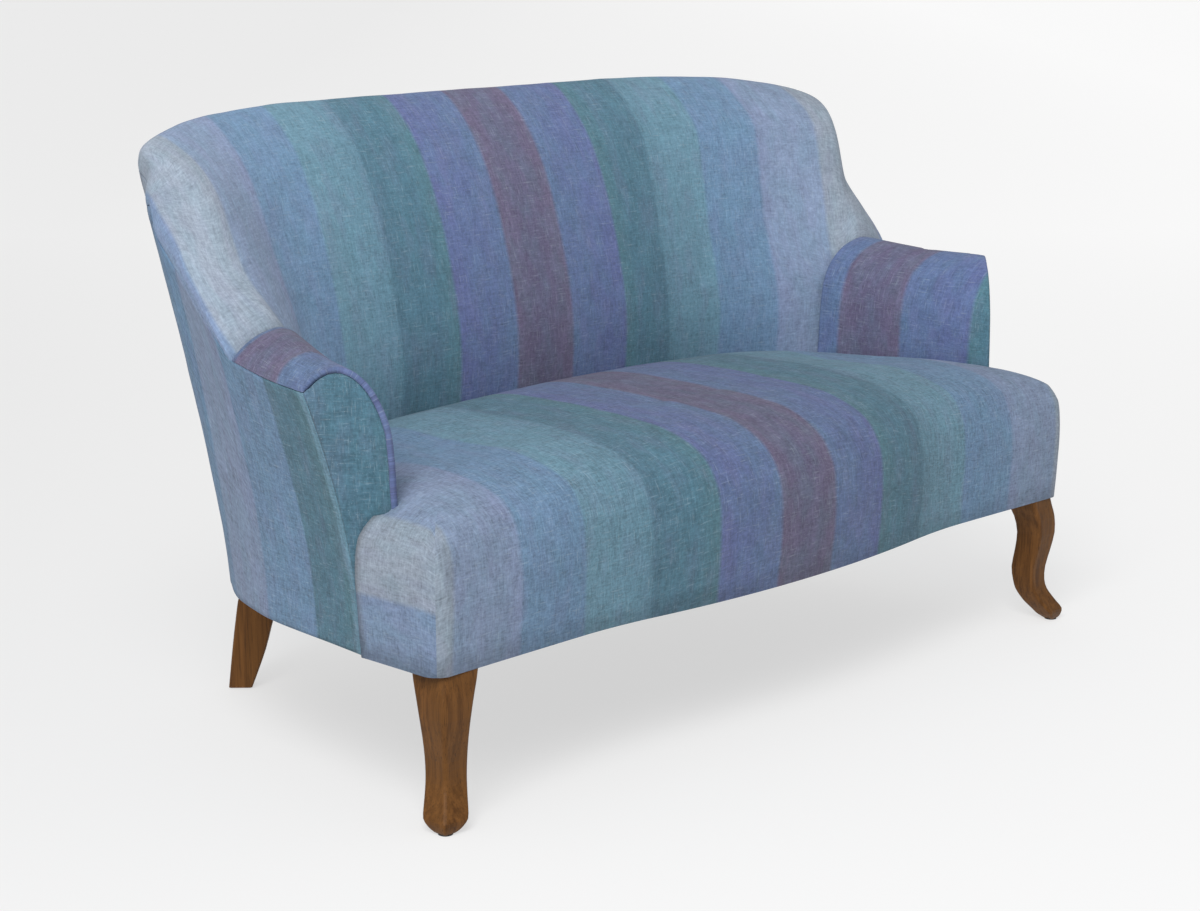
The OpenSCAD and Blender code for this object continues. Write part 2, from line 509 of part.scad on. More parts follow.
// Suspension. Lengthwise straps lie on the rails and the cross straps lie on them
strap_z = rail_top;
module strap(size, at) translate(at) cube(size);
module seat_webbing() color("saddlebrown") {
    for (x = [-half_w / 2, -half_w / 6, half_w / 6, half_w / 2])
        strap([web_w, back_y - front_y - 72 - front_bow * 0.9, web_t],
            [x - web_w / 2, front_y + 22 + front_bow * 0.9, strap_z]);
    for (r = [[304, half_w + 14], [164, half_w + 4], [24, half_w - 32]])
        strap([2 * r[1], web_w, web_t], [-r[1], seat_back_y - r[0] - web_w / 2, strap_z + web_t]);
}
module seat_hessian() {
    t = cover_t + 4;
    color("tan") translate([0, 0, strap_z + 2 * web_t]) linear_extrude(cloth_t)
        polygon([for (p = ring(t, t, 0, 0, t)) [p[0], p[1]]]);
}
module back_strap(x) {
    us = steps(0.5 + (x - web_w / 2) / half_w * 0.154, 0.5 + (x + web_w / 2) / half_w * 0.154, 1);
    vs = steps(0.03, 0.7, 9);
    t = hessian_in + cloth_t + 1.2;
    color("saddlebrown") pad(grid(back_net, us, vs, t), grid(back_net, us, vs, t + web_t));
}
module back_strap_1() back_strap(-half_w * 0.26);
module back_strap_2() back_strap(0);
module back_strap_3() back_strap(half_w * 0.26);

// Dust cover under the rails, with cut-outs round the leg blocks
module dust_cover() color("dimgray") translate([0, 0, leg_h]) linear_extrude(1.5) difference() {
    d = 16;
    half = concat([for (x = steps(0, front_w / 2 - 40, 8)) [x, bow(x) + d]],
        [[front_w / 2 - d, bow(front_w / 2) + 40], [front_w / 2 - 30, arm_front[1] + 30]],
        [for (q = [1:12]) inset(q, d - 8)]);
    polygon(concat(half, [for (k = [len(half) - 2:-1:1]) [-half[k][0], half[k][1]]]));
    for (m = [0, 1]) mirror([m, 0, 0]) {
        translate([half_w - 28, front_y + 28]) square([100, 92]);
        translate([rear_block_x - 3, back_y - 156]) square([half_w - rear_block_x - 160, 160]);
    }
}

// Legs, drawn at these sizes: height, half diagonal of a front leg's top and length of a rear foot
leg_drawn = [231, 44, 39];
// Front leg: height, distance in from the corner, and half diagonals of its section
front_leg_rows = [[2, 34, 13, 14], [5, 35, 17, 19], [11, 38, 23, 26], [20, 42, 28, 32],
    [32, 53, 29.5, 32], [43, 62, 29.5, 31], [58, 72, 29, 30], [75, 77, 29, 29.6],
    [100, 78.4, 31, 30.5], [132, 72, 32.5, 33], [165, 67, 34.5, 37], [195, 71, 37, 41.5],
    [215, 79, 39.5, 45], [231, 84.5, 41, 47]];
function leg_section(r) = let (s = front_leg_r / leg_drawn[1], a = r[2] * s, b = r[3] * s, k = 0.08)
    [for (m = [0:3]) for (c = [[1 - 0.72 * k, -1.72 * k], [1 - 0.2 * k, -0.93 * k], [1, 0],
        [1 - 0.2 * k, 0.93 * k], [1 - 0.72 * k, 1.72 * k]])
        let (g = m * 90, p = front_spot(r[1] - a * (c[0] * cos(g) - c[1] * sin(g)),
            front_leg_off + b * (c[0] * sin(g) + c[1] * cos(g))))
        [p[0], p[1], r[0] * leg_h / leg_drawn[0]]];
module front_leg(side) color("sienna") mirror([side, 0, 0]) difference() {
    loft([for (k = steps(0, 1, 26)) leg_section(curve(front_leg_rows, k))]);
    bore(front_leg_at);
}
module front_leg_right() front_leg(0);
module front_leg_left() front_leg(1);
// Rear leg: height, distance in from the corner, length of its section
rear_leg_rows = [[2, 200, 39], [60, 214, 53.5], [119, 226, 62], [169, 240, 72], [231, 267, 78]];
function sabre(r) = let (s = rear_foot_w / leg_drawn[2], w = r[2] * s / 2, h = rear_leg_t / 2, k = 3)
    [for (c = [[w - k, -h], [w, k - h], [w, h - k], [w - k, h], [k - w, h], [-w, h - k],
        [-w, k - h], [k - w, -h]]) let (p = rear_spot(r[1] - c[0], rear_leg_off - c[1]))
        [p[0], p[1], r[0] * leg_h / leg_drawn[0]]];
module rear_leg(side) color("sienna") mirror([side, 0, 0]) difference() {
    loft([for (k = steps(0, 1, 12)) sabre(curve(rear_leg_rows, k))]);
    bore(rear_leg_at);
}
module rear_leg_right() rear_leg(0);
module rear_leg_left() rear_leg(1);
front_foot = front_spot(front_leg_rows[0][1], front_leg_off);
rear_foot = rear_spot(rear_leg_rows[0][1], rear_leg_off);
module glide(p, side) color("black") mirror([side, 0, 0]) translate([p[0], p[1], 0])
    cylinder(r = glide_r, h = glide_h);
module glide_front_right() glide(front_foot, 0);
module glide_front_left() glide(front_foot, 1);
module glide_rear_right() glide(rear_foot, 0);
module glide_rear_left() glide(rear_foot, 1);

inside_back_cover();
inside_arm_cover_right();
inside_arm_cover_left();
seat_cover();
seat_foam();
outside_arm_cover_right();
outside_arm_cover_left();
outside_back_cover();
arm_facing_right();
arm_facing_left();
back_foam();
back_hessian();
arm_foam_right();
arm_foam_left();
front_rail();
back_rail();
side_rail_right();
side_rail_left();
centre_rail();
leg_bolt_front_right();
leg_bolt_front_left();
leg_bolt_rear_right();
leg_bolt_rear_left();
front_leg_block_right();
front_leg_block_left();
rear_leg_block_right();
rear_leg_block_left();
crest_rail();
back_post_right();
back_post_left();
back_upright_right();
back_upright_left();
back_tack_rail();
arm_rear_post_right();
arm_rear_post_left();
arm_front_board_right();
arm_front_board_left();
arm_top_rail_right();
arm_top_rail_left();
arm_tack_rail_right();
arm_tack_rail_left();
wing_board_right();
wing_board_left();
seat_webbing();
seat_hessian();
back_strap_1();
back_strap_2();
back_strap_3();
dust_cover();
front_leg_right();
front_leg_left();
rear_leg_right();
rear_leg_left();
glide_front_right();
glide_front_left();
glide_rear_right();
glide_rear_left();
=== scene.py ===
"""Looks of an upholstered sofa in striped linen on oak legs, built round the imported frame."""

import math

import bpy
import bmesh
import numpy as np
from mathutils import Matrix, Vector, noise


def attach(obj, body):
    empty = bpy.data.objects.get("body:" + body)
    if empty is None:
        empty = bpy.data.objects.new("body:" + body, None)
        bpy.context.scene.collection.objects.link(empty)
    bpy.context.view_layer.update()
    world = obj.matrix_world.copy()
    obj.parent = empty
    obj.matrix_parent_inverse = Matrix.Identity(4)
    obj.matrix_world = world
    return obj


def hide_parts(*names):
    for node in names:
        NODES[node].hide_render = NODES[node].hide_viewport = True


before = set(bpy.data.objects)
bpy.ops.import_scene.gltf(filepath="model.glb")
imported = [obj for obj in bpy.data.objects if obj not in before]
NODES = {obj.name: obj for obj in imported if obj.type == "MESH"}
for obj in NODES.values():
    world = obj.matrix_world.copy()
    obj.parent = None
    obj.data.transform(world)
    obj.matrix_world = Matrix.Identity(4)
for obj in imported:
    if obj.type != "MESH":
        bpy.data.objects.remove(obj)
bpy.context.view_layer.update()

# Sizes in millimetres, as in the frame's source
MM = 0.001
BACK_H = 970  # crest of the back above the floor
SEAT_H = 467  # seat where it meets the back
ARM_RISE = 204  # rise of the arm's ridge above the seat, at the back
ARM_FALL = 18  # fall of the arm's ridge towards the front
LEG_H = 230  # underside of the body
SEAT_W = 1434  # clear width between the fronts of the arms
EAR_W = 55  # reach of each ear of the seat past the front of its arm
BODY_D = 825  # depth of the whole sofa
FRONT_BOW = 36  # how far the middle of the front bows out past its ends
BOW_REACH = 400  # half of the width over which it bows
FRONT_FLICK = 6  # how far it swings out again at its ends
SEAT_CROWN = 25  # rise of the seat's crown above its back edge
EAR_R = 30  # radius of the upright corners of the seat's front
BACK_BASE = 238  # depth of the body behind the foot of the back
BACK_RAKE = 86  # rake of the inside of the back
ARM_L = 327  # length of the inside of an arm
ARM_SETBACK = 420  # from the foot of the back to the front of the arm
ARM_FLARE = math.radians(19)  # angle at which the arms open towards the front
OUTER_LEAN = 20  # how far the outside leans out at the back
FACING_TURN = math.radians(44)  # angle of the arm facings to the front
COVER = 12  # thickness of a cover with its wadding
SKIN = 3  # thickness of the outside covers
BACK_FOAM = 42
ARM_FOAM = 18
BACKING = 5  # hessian and webbing behind the foam
RAIL_H = 97  # height of the rails under the seat's filling
DUST_CLOTH = 1.5  # thickness of the cloth under the rails
SLACK = 0.3  # gap that keeps two soft faces apart
FRONT_Y = -BODY_D / 2
BACK_Y = BODY_D / 2
SEAT_BACK_Y = BACK_Y - BACK_BASE
HALF_W = SEAT_W / 2
FRONT_W = SEAT_W + 2 * EAR_W
ARM_H = SEAT_H + ARM_RISE
ARM_FRONT = np.array([HALF_W, SEAT_BACK_Y - ARM_SETBACK])
ARM_REAR = ARM_FRONT - ARM_L * np.array([math.sin(ARM_FLARE), -math.cos(ARM_FLARE)])
BOTTOM = LEG_H + SLACK


# Curves and surfaces
def curve_weights(n, ts):
    """Share of each of n + 1 points in a smooth curve through them, at every t from 0 to 1."""
    s = np.minimum(np.clip(ts, 0, 1) * n, n - 1e-6)
    i = np.floor(s).astype(int)
    f = s - i
    shares = [0.5 * (-f + 2 * f**2 - f**3), 0.5 * (2 - 5 * f**2 + 3 * f**3),
              0.5 * (f + 4 * f**2 - 3 * f**3), 0.5 * (-f**2 + f**3)]
    w = np.zeros((len(s), n + 1))
    for k, share in zip((-1, 0, 1, 2), shares):
        np.add.at(w, (np.arange(len(s)), np.clip(i + k, 0, n)), share)
    return w


def curve(points, ts):
    points = np.asarray(points, float)
    return curve_weights(len(points) - 1, np.atleast_1d(ts)) @ points


def surface(net, us, vs):
    net = np.asarray(net, float)
    wu = curve_weights(net.shape[1] - 1, us)
    wv = curve_weights(net.shape[0] - 1, vs)
    return np.einsum("vi,ijk,uj->vuk", wv, net, wu)


def square_to(net, us, vs):
    """Unit vectors square to the surface, out of it."""
    step = 0.004
    u0, v0 = np.clip(us, step, 1 - step), np.clip(vs, step, 1 - step)
    du = surface(net, u0 + step, v0) - surface(net, u0 - step, v0)
    dv = surface(net, u0, v0 + step) - surface(net, u0, v0 - step)
    n = np.cross(du, dv)
    return n / np.linalg.norm(n, axis=2, keepdims=True)


def run_lengths(points, axis):
    """Length along each line of a grid, from its first point."""
    steps = np.linalg.norm(np.diff(points, axis=axis), axis=2)
    pad = [(0, 0), (0, 0)]
    pad[axis] = (1, 0)
    return np.cumsum(np.pad(steps, pad), axis=axis)


def grid_square(points):
    """Unit vectors square to a grid of points."""
    n = np.cross(np.gradient(points, axis=1), np.gradient(points, axis=0))
    return n / np.maximum(np.linalg.norm(n, axis=2, keepdims=True), 1e-9)


def ramp(x, a, b):
    """From 0 where x is a to 1 where x is b, and no further."""
    return np.clip((x - a) / (b - a), 0, 1)


def blend(a, b, t):
    return a + (b - a) * t


def mirrored(points):
    return points * (-1, 1, 1)


# Nets of the upholstery, as in the frame's source
# Rows of the inside of the back, from its foot to its crest and over to the rear seam
RISE = [-0.054, 0.165, 0.384, 0.612, 0.781, 0.9, 1, 0.91]  # share of the height from seat to crest
LEAN = [0.06, -0.03, 0.19, 0.56, 0.95, 1.42]  # share of BACK_RAKE
SPREAD = [0, 0.05, 0.22, 0.53, 0.68, 0.84, 0.97, 1]  # share of BACK_SPREAD
BACK_SPREAD = 155  # how far the wings open out
CREST_ROW, REAR_ROW = 6, 7
CREST_IN, REAR_IN = 47, 4.5  # of the crest and the rear seam, in from BACK_Y
# Columns of the inside of the back, from its middle to the root of the wing
ACROSS = [0, 0.544, 0.73, 0.893, 1]  # share of the width at the arms
FORWARD = [0, 4, 16, 50, 110]  # how far the plan curves forward
OPENS = [0, 0, 0.22, 0.62, 1]  # share of the row's spread
SINKS = [0, 0, 2, 12, 37]  # fall of the crest
SINK_SHARE = {5: 0.3, CREST_ROW: 1, REAR_ROW: 0.7}  # of it in each row
ROOT_COLUMN = 4
ROOT_SHIFT = {CREST_ROW: (4, 2, 0), REAR_ROW: (-16, 1, 0)}  # rounds the root of the wing
# Columns of the wing: steps out and back from the root, and the share of the height
WING_MID = [(127, -69, 0.588), (144, -33, 0.759), (164, 7, 0.849), (174, 44, 0.867), (158, 81, 0.815)]
WING_OUT = [(171, -29, 0.604), (182, 20, 0.749), (186, 28, 0.796), (186, 44, 0.803), (173, 63, 0.770)]
WING_SEAM = [(175, -3, 0.578), (184, 30, 0.680), (187, 35, 0.750), (185, 45, 0.756), (175, 59, 0.737)]
# Section of the arm at its rear: steps out and back from ARM_REAR, and height from ARM_H
REAR_ARCH = [(4, -2, -122), (10, -4, -75), (24, -9, -40), (48, -18, -13), (85, -26, 1),
             (120, -28, -3), (148, -27, -15), (165, -25, -28), (175, -24, -38)]
# Section at the facing: distance along the facing, and height from the ridge there
FRONT_ARCH = [(2, -138), (8, -88), (26, -43), (48, -15), (72, -2), (94, -3), (113, -13),
              (127, -27), (132, -37)]
ARM_DIP = 16  # the ridge hangs a quarter of this in the middle of its length
TUCK = 27  # how far the covers run down past the seat
FACING_DIR = np.array([math.cos(FACING_TURN), math.sin(FACING_TURN)])
FACING_FOOT = ARM_FRONT + (2.5, -2)
# The back's two lowest rows go on behind the arm: their height, and their steps out from ARM_REAR
BEHIND_ROWS = ((SEAT_H - TUCK, (24, 36, 48, 60)), (ARM_H - 105, (26, 44, 66, 84)))
BEHIND_SLOPE, BEHIND_GAP = 0.14, 3
# The row above them takes these points of the arm's rear section, the first of them moved out
ARCH_POINTS, ARCH_OUT = (4, 6, 9, 10), 14


def level(f):
    return blend(SEAT_H, BACK_H, f)


def row_y(r):
    if r < CREST_ROW:
        return SEAT_BACK_Y + BACK_RAKE * LEAN[r]
    return BACK_Y - (CREST_IN if r == CREST_ROW else REAR_IN)


def back_node(r, c):
    fall = SINKS[c] * SINK_SHARE.get(r, 0)
    shift = ROOT_SHIFT.get(r, (0, 0, 0)) if c == ROOT_COLUMN else (0, 0, 0)
    return np.array([ARM_REAR[0] * ACROSS[c] + BACK_SPREAD * SPREAD[r] * OPENS[c] + shift[0],
                     row_y(r) - FORWARD[c] + shift[1], level(RISE[r]) - fall])


def on_facing(t, z):
    x, y = FACING_FOOT + t * FACING_DIR
    return np.array([x, y, z])


def arm_rows():
    """Section of the arm at its rear and at its facing."""
    rear = [[ARM_REAR[0] - 3, ARM_REAR[1] + 1, SEAT_H - TUCK], [*ARM_REAR, SEAT_H]]
    rear += [[ARM_REAR[0] + x, ARM_REAR[1] + y, ARM_H + z] for x, y, z in REAR_ARCH]
    front = [on_facing(-2, SEAT_H - TUCK), on_facing(0, SEAT_H)]
    front += [on_facing(t, ARM_H - ARM_FALL + z) for t, z in FRONT_ARCH]
    return np.array(rear), np.array(front)


def arm_net():
    rear, front = arm_rows()
    dip = np.where(np.arange(len(rear)) > 4, ARM_DIP, 0)
    lines = []
    for t in (0, 0.5, 1):
        line = blend(rear, front, t)
        line[:, 2] -= dip * t * (1 - t)
        lines.append(line)
    return np.stack(lines, axis=1)


def back_net():
    rear = arm_rows()[0]
    rows = []
    for r in range(len(RISE)):
        row = [back_node(r, c) for c in range(ROOT_COLUMN if r < 3 else ROOT_COLUMN + 1)]
        if r < 2:
            height, outs = BEHIND_ROWS[r]
            row += [[ARM_REAR[0] + x, ARM_REAR[1] - BEHIND_SLOPE * x + BEHIND_GAP, height] for x in outs]
        elif r == 2:
            row += [rear[k] + (ARCH_OUT if k == ARCH_POINTS[0] else 0, BEHIND_GAP, 0) for k in ARCH_POINTS]
        else:
            row += [[ARM_REAR[0] + x, SEAT_BACK_Y + y, level(f)]
                    for x, y, f in (WING_MID[r - 3], WING_OUT[r - 3], WING_SEAM[r - 3])]
        row = np.array(row)
        rows.append(np.concatenate([mirrored(row[:0:-1]), row]))
    return np.array(rows)


BACK_NET, ARM_NET = back_net(), arm_net()


# Meshes
def placed(name, data):
    """Object of the scene that shows the data."""
    thing = bpy.data.objects.new(name, data)
    bpy.context.scene.collection.objects.link(thing)
    return thing


def make(name, points, faces, places):
    """Mesh piece from points in millimetres, with the place in the cloth of each corner of its faces."""
    mesh = bpy.data.meshes.new(name)
    mesh.from_pydata((np.asarray(points) * MM).tolist(), [], faces)
    layer = mesh.uv_layers.new(name="cloth")
    layer.data.foreach_set("uv", (np.asarray(places, float) * MM).ravel())
    piece = placed(name, mesh)
    work = bmesh.new()
    work.from_mesh(mesh)
    bmesh.ops.recalc_face_normals(work, faces=work.faces)
    work.to_mesh(mesh)
    work.free()
    mesh.shade_smooth()
    return piece


def cloth_places(along, up):
    """Place in the cloth of each point of a grid, from its length along and the lengths up a column."""
    return np.stack([along, np.broadcast_to(up[:, None], along.shape)], axis=-1)


def layers(net, depth, us, vs):
    """Front of the upholstery over a net, the ways out of it, and its back."""
    front, out = surface(net, us, vs), square_to(net, us, vs)
    return front, out, front - out * depth(us, vs)[..., None]


def slab(name, front, back, cloth, side="right"):
    """Closed slab between a front and a back grid of points, mirrored for the left side."""
    if side == "left":
        front, back = mirrored(front), mirrored(back)
    m, n = front.shape[:2]
    size = m * n
    index = np.arange(size).reshape(m, n)
    a, b, c, d = index[:-1, :-1], index[:-1, 1:], index[1:, :-1], index[1:, 1:]
    skin = np.stack([a, b, d, c], axis=-1).reshape(-1, 4)
    rim = np.concatenate([index[0, :-1], index[:-1, -1], index[-1, :0:-1], index[:0:-1, 0]])
    after = np.roll(rim, -1)
    side = np.stack([rim, rim + size, after + size, after], axis=-1)
    faces = np.concatenate([skin, skin[:, ::-1] + size, side])
    points = np.concatenate([front.reshape(-1, 3), back.reshape(-1, 3)])
    place = np.concatenate([cloth.reshape(-1, 2)] * 2)
    return make(name, points, faces.tolist(), place[faces.ravel()])


def seam_distance(points, sides):
    """Distance of each point of a grid from the nearest of the named sides."""
    along, up = run_lengths(points, 1), run_lengths(points, 0)
    far = {"left": along, "right": along[:, -1:] - along, "low": up, "top": up[-1:] - up}
    return np.minimum.reduce([far[s] for s in sides])


def ripple(points, size, seed):
    """Smooth random value from -1 to 1 at each point of a grid; each seed has its own part of the noise."""
    flat = points.reshape(-1, 3) / size + seed * 17.3
    return np.array([noise.noise(Vector(p)) for p in flat]).reshape(points.shape[:-1])


def soften(points, share, times=160, pace=0.7):
    """Evens out a closed band of rings, each point by its share."""
    share = share[..., None]
    for _ in range(times):
        mean = (np.roll(points, 1, axis=1) + np.roll(points, -1, axis=1)) / 2
        mean[1:-1] = (mean[1:-1] + (points[2:] + points[:-2]) / 2) / 2
        points = points + (mean - points) * share * pace
    return points


# Cloth simulation
FRAMES = 20
PRESSURE = 0.5  # of the filling on the cloth
ROW_GAP = 0.0003  # metres each row is raised, which parts points that lie on each other


def every(count, step):
    return np.unique(np.append(np.arange(0, count, step), count - 1))


def spread_out(values, rows, columns, shape):
    """Values known on some rows and columns of a grid, filled in over all of it."""
    wide = np.array([np.interp(np.arange(shape[1]), columns, line) for line in values])
    return np.array([np.interp(np.arange(shape[0]), rows, line) for line in wide.T]).T


def simulated(coarse, outward, pins, pressure, spare):
    """Where a coarse grid of points, in metres, goes as a cloth under pressure, held by its pins."""
    m, n = coarse.shape[:2]
    index = np.arange(m * n).reshape(m, n)
    faces = np.stack([index[:-1, :-1], index[:-1, 1:], index[1:, 1:], index[1:, :-1]], axis=-1)
    faces = faces.reshape(-1, 4)
    if not outward:
        faces = faces[:, ::-1]
    mesh = bpy.data.meshes.new("cloth")
    mesh.from_pydata(coarse.reshape(-1, 3).tolist(), [], faces.tolist())
    sheet = placed("cloth", mesh)
    group = sheet.vertex_groups.new(name="held")
    for k, weight in enumerate(pins.ravel()):
        group.add([k], float(weight), "REPLACE")
    cloth = sheet.modifiers.new("cloth", "CLOTH")
    cloth.settings.vertex_group_mass = "held"
    cloth.settings.effector_weights.gravity = 0
    cloth.settings.use_pressure = True
    cloth.settings.uniform_pressure_force = pressure
    cloth.settings.bending_stiffness = 0.2
    cloth.settings.shrink_min = -spare
    cloth.settings.quality = 5
    cloth.collision_settings.use_collision = False
    cloth.point_cache.frame_start, cloth.point_cache.frame_end = 1, FRAMES
    for number in range(1, FRAMES + 1):
        bpy.context.scene.frame_set(number)
    view = bpy.context.evaluated_depsgraph_get()
    moved = np.empty(m * n * 3)
    sheet.evaluated_get(view).data.vertices.foreach_get("co", moved)
    bpy.data.objects.remove(sheet)
    bpy.data.meshes.remove(mesh)
    bpy.context.scene.frame_set(1)
    return moved.reshape(m, n, 3)


def puff(points, out, held, steps, pressure, most, spare=0.0, last=None):
    """Pushes a grid of points out by a cloth simulation on some of its rows and columns.

    out gives the way out, held how firmly each point stays, steps how far apart those rows and columns are,
    most the largest move, spare the share by which the cloth is cut larger, and last the rows taking part.
    """
    rows, columns = every(last or len(points), steps[0]), every(points.shape[1], steps[1])
    some = np.ix_(rows, columns)
    coarse = points[some] * MM
    coarse[..., 2] += ROW_GAP * np.arange(len(rows))[:, None]
    outward = np.sum(grid_square(points) * out) >= 0
    shift = (simulated(coarse, outward, held[some], pressure, spare) - coarse) / MM
    length = np.linalg.norm(shift, axis=2)
    shift *= np.minimum(1, most / np.maximum(length, 1e-6))[..., None]
    moves = [spread_out(shift[..., i], rows, columns, points.shape) for i in range(3)]
    return points + np.stack(moves, axis=-1)


# Relief of sewn cloth, in millimetres
PUCKER_H, PUCKER_L = 0.5, 16  # height and length of the puckers beside a seam
PUCKER_REACH = 22  # how far they reach from it
SLOW_L, QUICK_L = 85, 34  # lengths of the waves in which a cover rises and falls
QUICK_H = 0.35  # height of the quicker one
ROLL_REACH = 5.5  # how far from a seam the cloth rolls in
WAVE_START = 12  # distance from a seam over which the waves grow


def upholster(points, out, seams, seed, roll=0.8, full=0.9):
    """Rolls a cloth surface in at its seams, puckers it beside them and lets it rise and fall a little."""
    away = seam_distance(points, seams)
    puckers = PUCKER_H * np.exp(-away / PUCKER_REACH) * ripple(points, PUCKER_L, seed + 3)
    waves = full * ripple(points, SLOW_L, seed) + QUICK_H * ripple(points, QUICK_L, seed + 1)
    push = (waves + puckers) * ramp(away, 0, WAVE_START) - roll * np.exp(-(away / ROLL_REACH) ** 2)
    return points + out * push[..., None]


PITCH = 134.5  # width of a stripe
# Stripes from the middle one outwards: colours of the inner edge, the middle and the outer edge
STRIPES = [((89, 87, 112), (90, 86, 111), (95, 88, 112)),  # plum
           ((87, 104, 138), (86, 100, 136), (87, 97, 138)),  # indigo
           ((75, 108, 120), (72, 106, 123), (74, 105, 122)),  # teal
           ((87, 119, 136), (93, 126, 143), (96, 129, 146)),  # sea
           ((97, 124, 153), (98, 125, 153), (100, 125, 153)),  # blue
           ((116, 129, 157), (117, 132, 157), (118, 133, 158)),  # lavender
           ((130, 140, 153), (132, 142, 155), (132, 142, 156)),  # pale
           ((110, 127, 155), (110, 127, 153), (110, 127, 153))]  # lavender
OUTSIDE_STRIPES = [STRIPES[k] for k in (3, 2, 4, 5, 4, 6, 5, 3)]


def finish_piece(piece, *nodes, fill, cloth="linen"):
    """Gives a padded piece its cloth, hangs it on the root and hides the nodes it stands for."""
    piece.data.materials.append(MATERIALS[cloth])
    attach(piece, "root")
    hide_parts(*nodes)


# Seat
EAR_BACK = 7  # gap between an ear of the seat and the facing behind it
EAR_SLOPE = 0.573  # steps back for each step out along the back of an ear
EAR_LOW = LEG_H + 109  # the back of an ear is closed above this height
SEAT_SAG = 8  # fall of the crown towards the ears
SEAT_TOP = SEAT_H + SEAT_CROWN
CORNER_FILL = 4  # how far the seat is pushed into its rear corners
REAR_GAP = 0.3  # between the seat and the back
MITRE = math.radians(-45)  # where the seat's front is seamed to its end, round the corner
CEILING = LEG_H + DUST_CLOTH + RAIL_H + SLACK  # underside of the seat's filling, on the rails
# Profile of the front edge and the crown: inset at the front, inset at the back, drop
SEAT_EDGE = np.array([(0, 0, 236), (-4, 0, 150), (-3, 0, 110), (0, 0, 87), (4, 0, 75), (10, 0, 62),
                      (20, 0, 47), (34, 1, 34), (53, 4, 24), (75, 30, 16), (105, 62, 10), (150, 92, 5),
                      (205, 118, 1.5), (250, 150, 0)], float)
EDGE_STEPS = len(SEAT_EDGE) - 1
EDGE_ROWS = EDGE_STEPS * 5 + 1  # rings of the seat, five to a step, up to the flat of its top
FLAT_ROW = EDGE_ROWS - 13  # from this ring on, the cloth's places are those of the plan
# Columns of half a ring: along the front, round the corner, on to the ear and the arm, back, and across
FRONT_STEPS, CORNER = 56, np.radians(np.arange(-82.5, 0.1, 7.5))
TO_EAR, TO_ARM, TO_REAR = 8, 5, 14
ACROSS_BACK = np.linspace(0.94, 0.06, 14)
TURN_COLUMN = FRONT_STEPS + 1 + int(np.argmin(np.abs(CORNER - MITRE)))
ARM_COLUMN = FRONT_STEPS + len(CORNER) + TO_EAR + TO_ARM
WRAP = 18  # columns that the simulated ring goes on past its ends


def bow(x):
    """Line of the seat's front: bowed out in the middle, and eased where the bow ends."""
    lines = []
    for ease in (-60, -30, 0, 30, 60):
        near = np.abs(x + ease)
        arc = FRONT_Y + FRONT_BOW * (near / BOW_REACH) ** 2
        tail = FRONT_Y + FRONT_BOW - FRONT_FLICK * (near - BOW_REACH) / (FRONT_W / 2 - BOW_REACH)
        lines.append(np.where(near < BOW_REACH, arc, tail))
    return np.mean(lines, axis=0)


def sag(x, z, share=1.0):
    return z - share * SEAT_SAG * (np.abs(x) / HALF_W) ** 3 * ramp(z, SEAT_H - 60, SEAT_H - 10)


def seat_half(front_in, rear_in, z, low, ear_in, sags=1.0):
    """Right half of a ring of the seat, from the middle of its front round to near the middle of its back.

    It is inset by front_in at the front and the ears, by rear_in along the arms and the back and by ear_in
    behind the ears. It lies at height z with its rear edge above low, and sags by its share.
    """
    end = FRONT_W / 2 - front_in
    radius = max(EAR_R - front_in, 2, 0.5 * (front_in - 40))
    turn_y = float(bow(np.float64(FRONT_W / 2))) + front_in + radius
    inner_y = max(ARM_FRONT[1] - EAR_BACK - ear_in, turn_y + 0.15 * front_in)
    inner_x = ARM_FRONT[0] - max(inner_y - ARM_FRONT[1], 0) * math.tan(ARM_FLARE) - 1.5 - rear_in
    ear_x = max(end, inner_x + 4)
    ear_y = ARM_FRONT[1] - EAR_BACK + EAR_SLOPE * (ear_x - ARM_FRONT[0])
    start, inner = np.array([end, turn_y]), np.array([inner_x, inner_y])
    ear = np.array([ear_x, max(ear_y - ear_in, inner_y)])
    ear = blend(ear, blend(start, inner, 0.5), ramp(front_in, 75, 105))
    fill = CORNER_FILL * math.exp(-max(rear_in, 0) / 10)
    rear = ARM_REAR + (fill - 4.5 - rear_in, fill + 2 - rear_in)
    high, edge = max(z, low), max(z, min(EAR_LOW, low))
    x = (end - radius) * np.linspace(0, 1, FRONT_STEPS + 1)
    front = np.stack([x, bow(x) + front_in, sag(x, z, sags)], axis=1)
    drop = 1 + 0.4 * max(1 - front_in / 70, 0) * ramp(np.degrees(CORNER), -90, -60)
    turn = np.stack([end - radius + radius * np.cos(CORNER), turn_y + radius * np.sin(CORNER),
                     sag(end, z, sags * drop)], axis=1)
    rows = [front, turn]
    parts = [(start, ear, z, z, TO_EAR), (ear, inner, z, edge, TO_ARM), (inner, rear, edge, high, TO_REAR)]
    for a, b, z0, z1, steps in parts:
        t = np.linspace(0, 1, steps + 1)[1:, None]
        p = blend(a, b, t)
        heights = np.where(t[:, 0] < 0.99, max(z0, z1) if z1 == high else z1, z1)
        rows.append(np.column_stack([p, sag(p[:, 0], heights, sags)]))
    back = curve([back_node(0, c)[:2] for c in range(len(ACROSS))], ACROSS_BACK)
    x = np.minimum(back[:, 0], rear[0] - 4)
    rows.append(np.column_stack([x, back[:, 1] - rear_in - REAR_GAP, sag(x, high, sags)]))
    return np.concatenate(rows)


def seat_ring(front_in, rear_in, z, low, ear_in, sags=1.0):
    half = seat_half(front_in, rear_in, z, low, ear_in, sags)
    middle = [[0, row_y(0) - rear_in - REAR_GAP, max(z, low)]]
    return np.concatenate([half, middle, mirrored(half[:0:-1])])


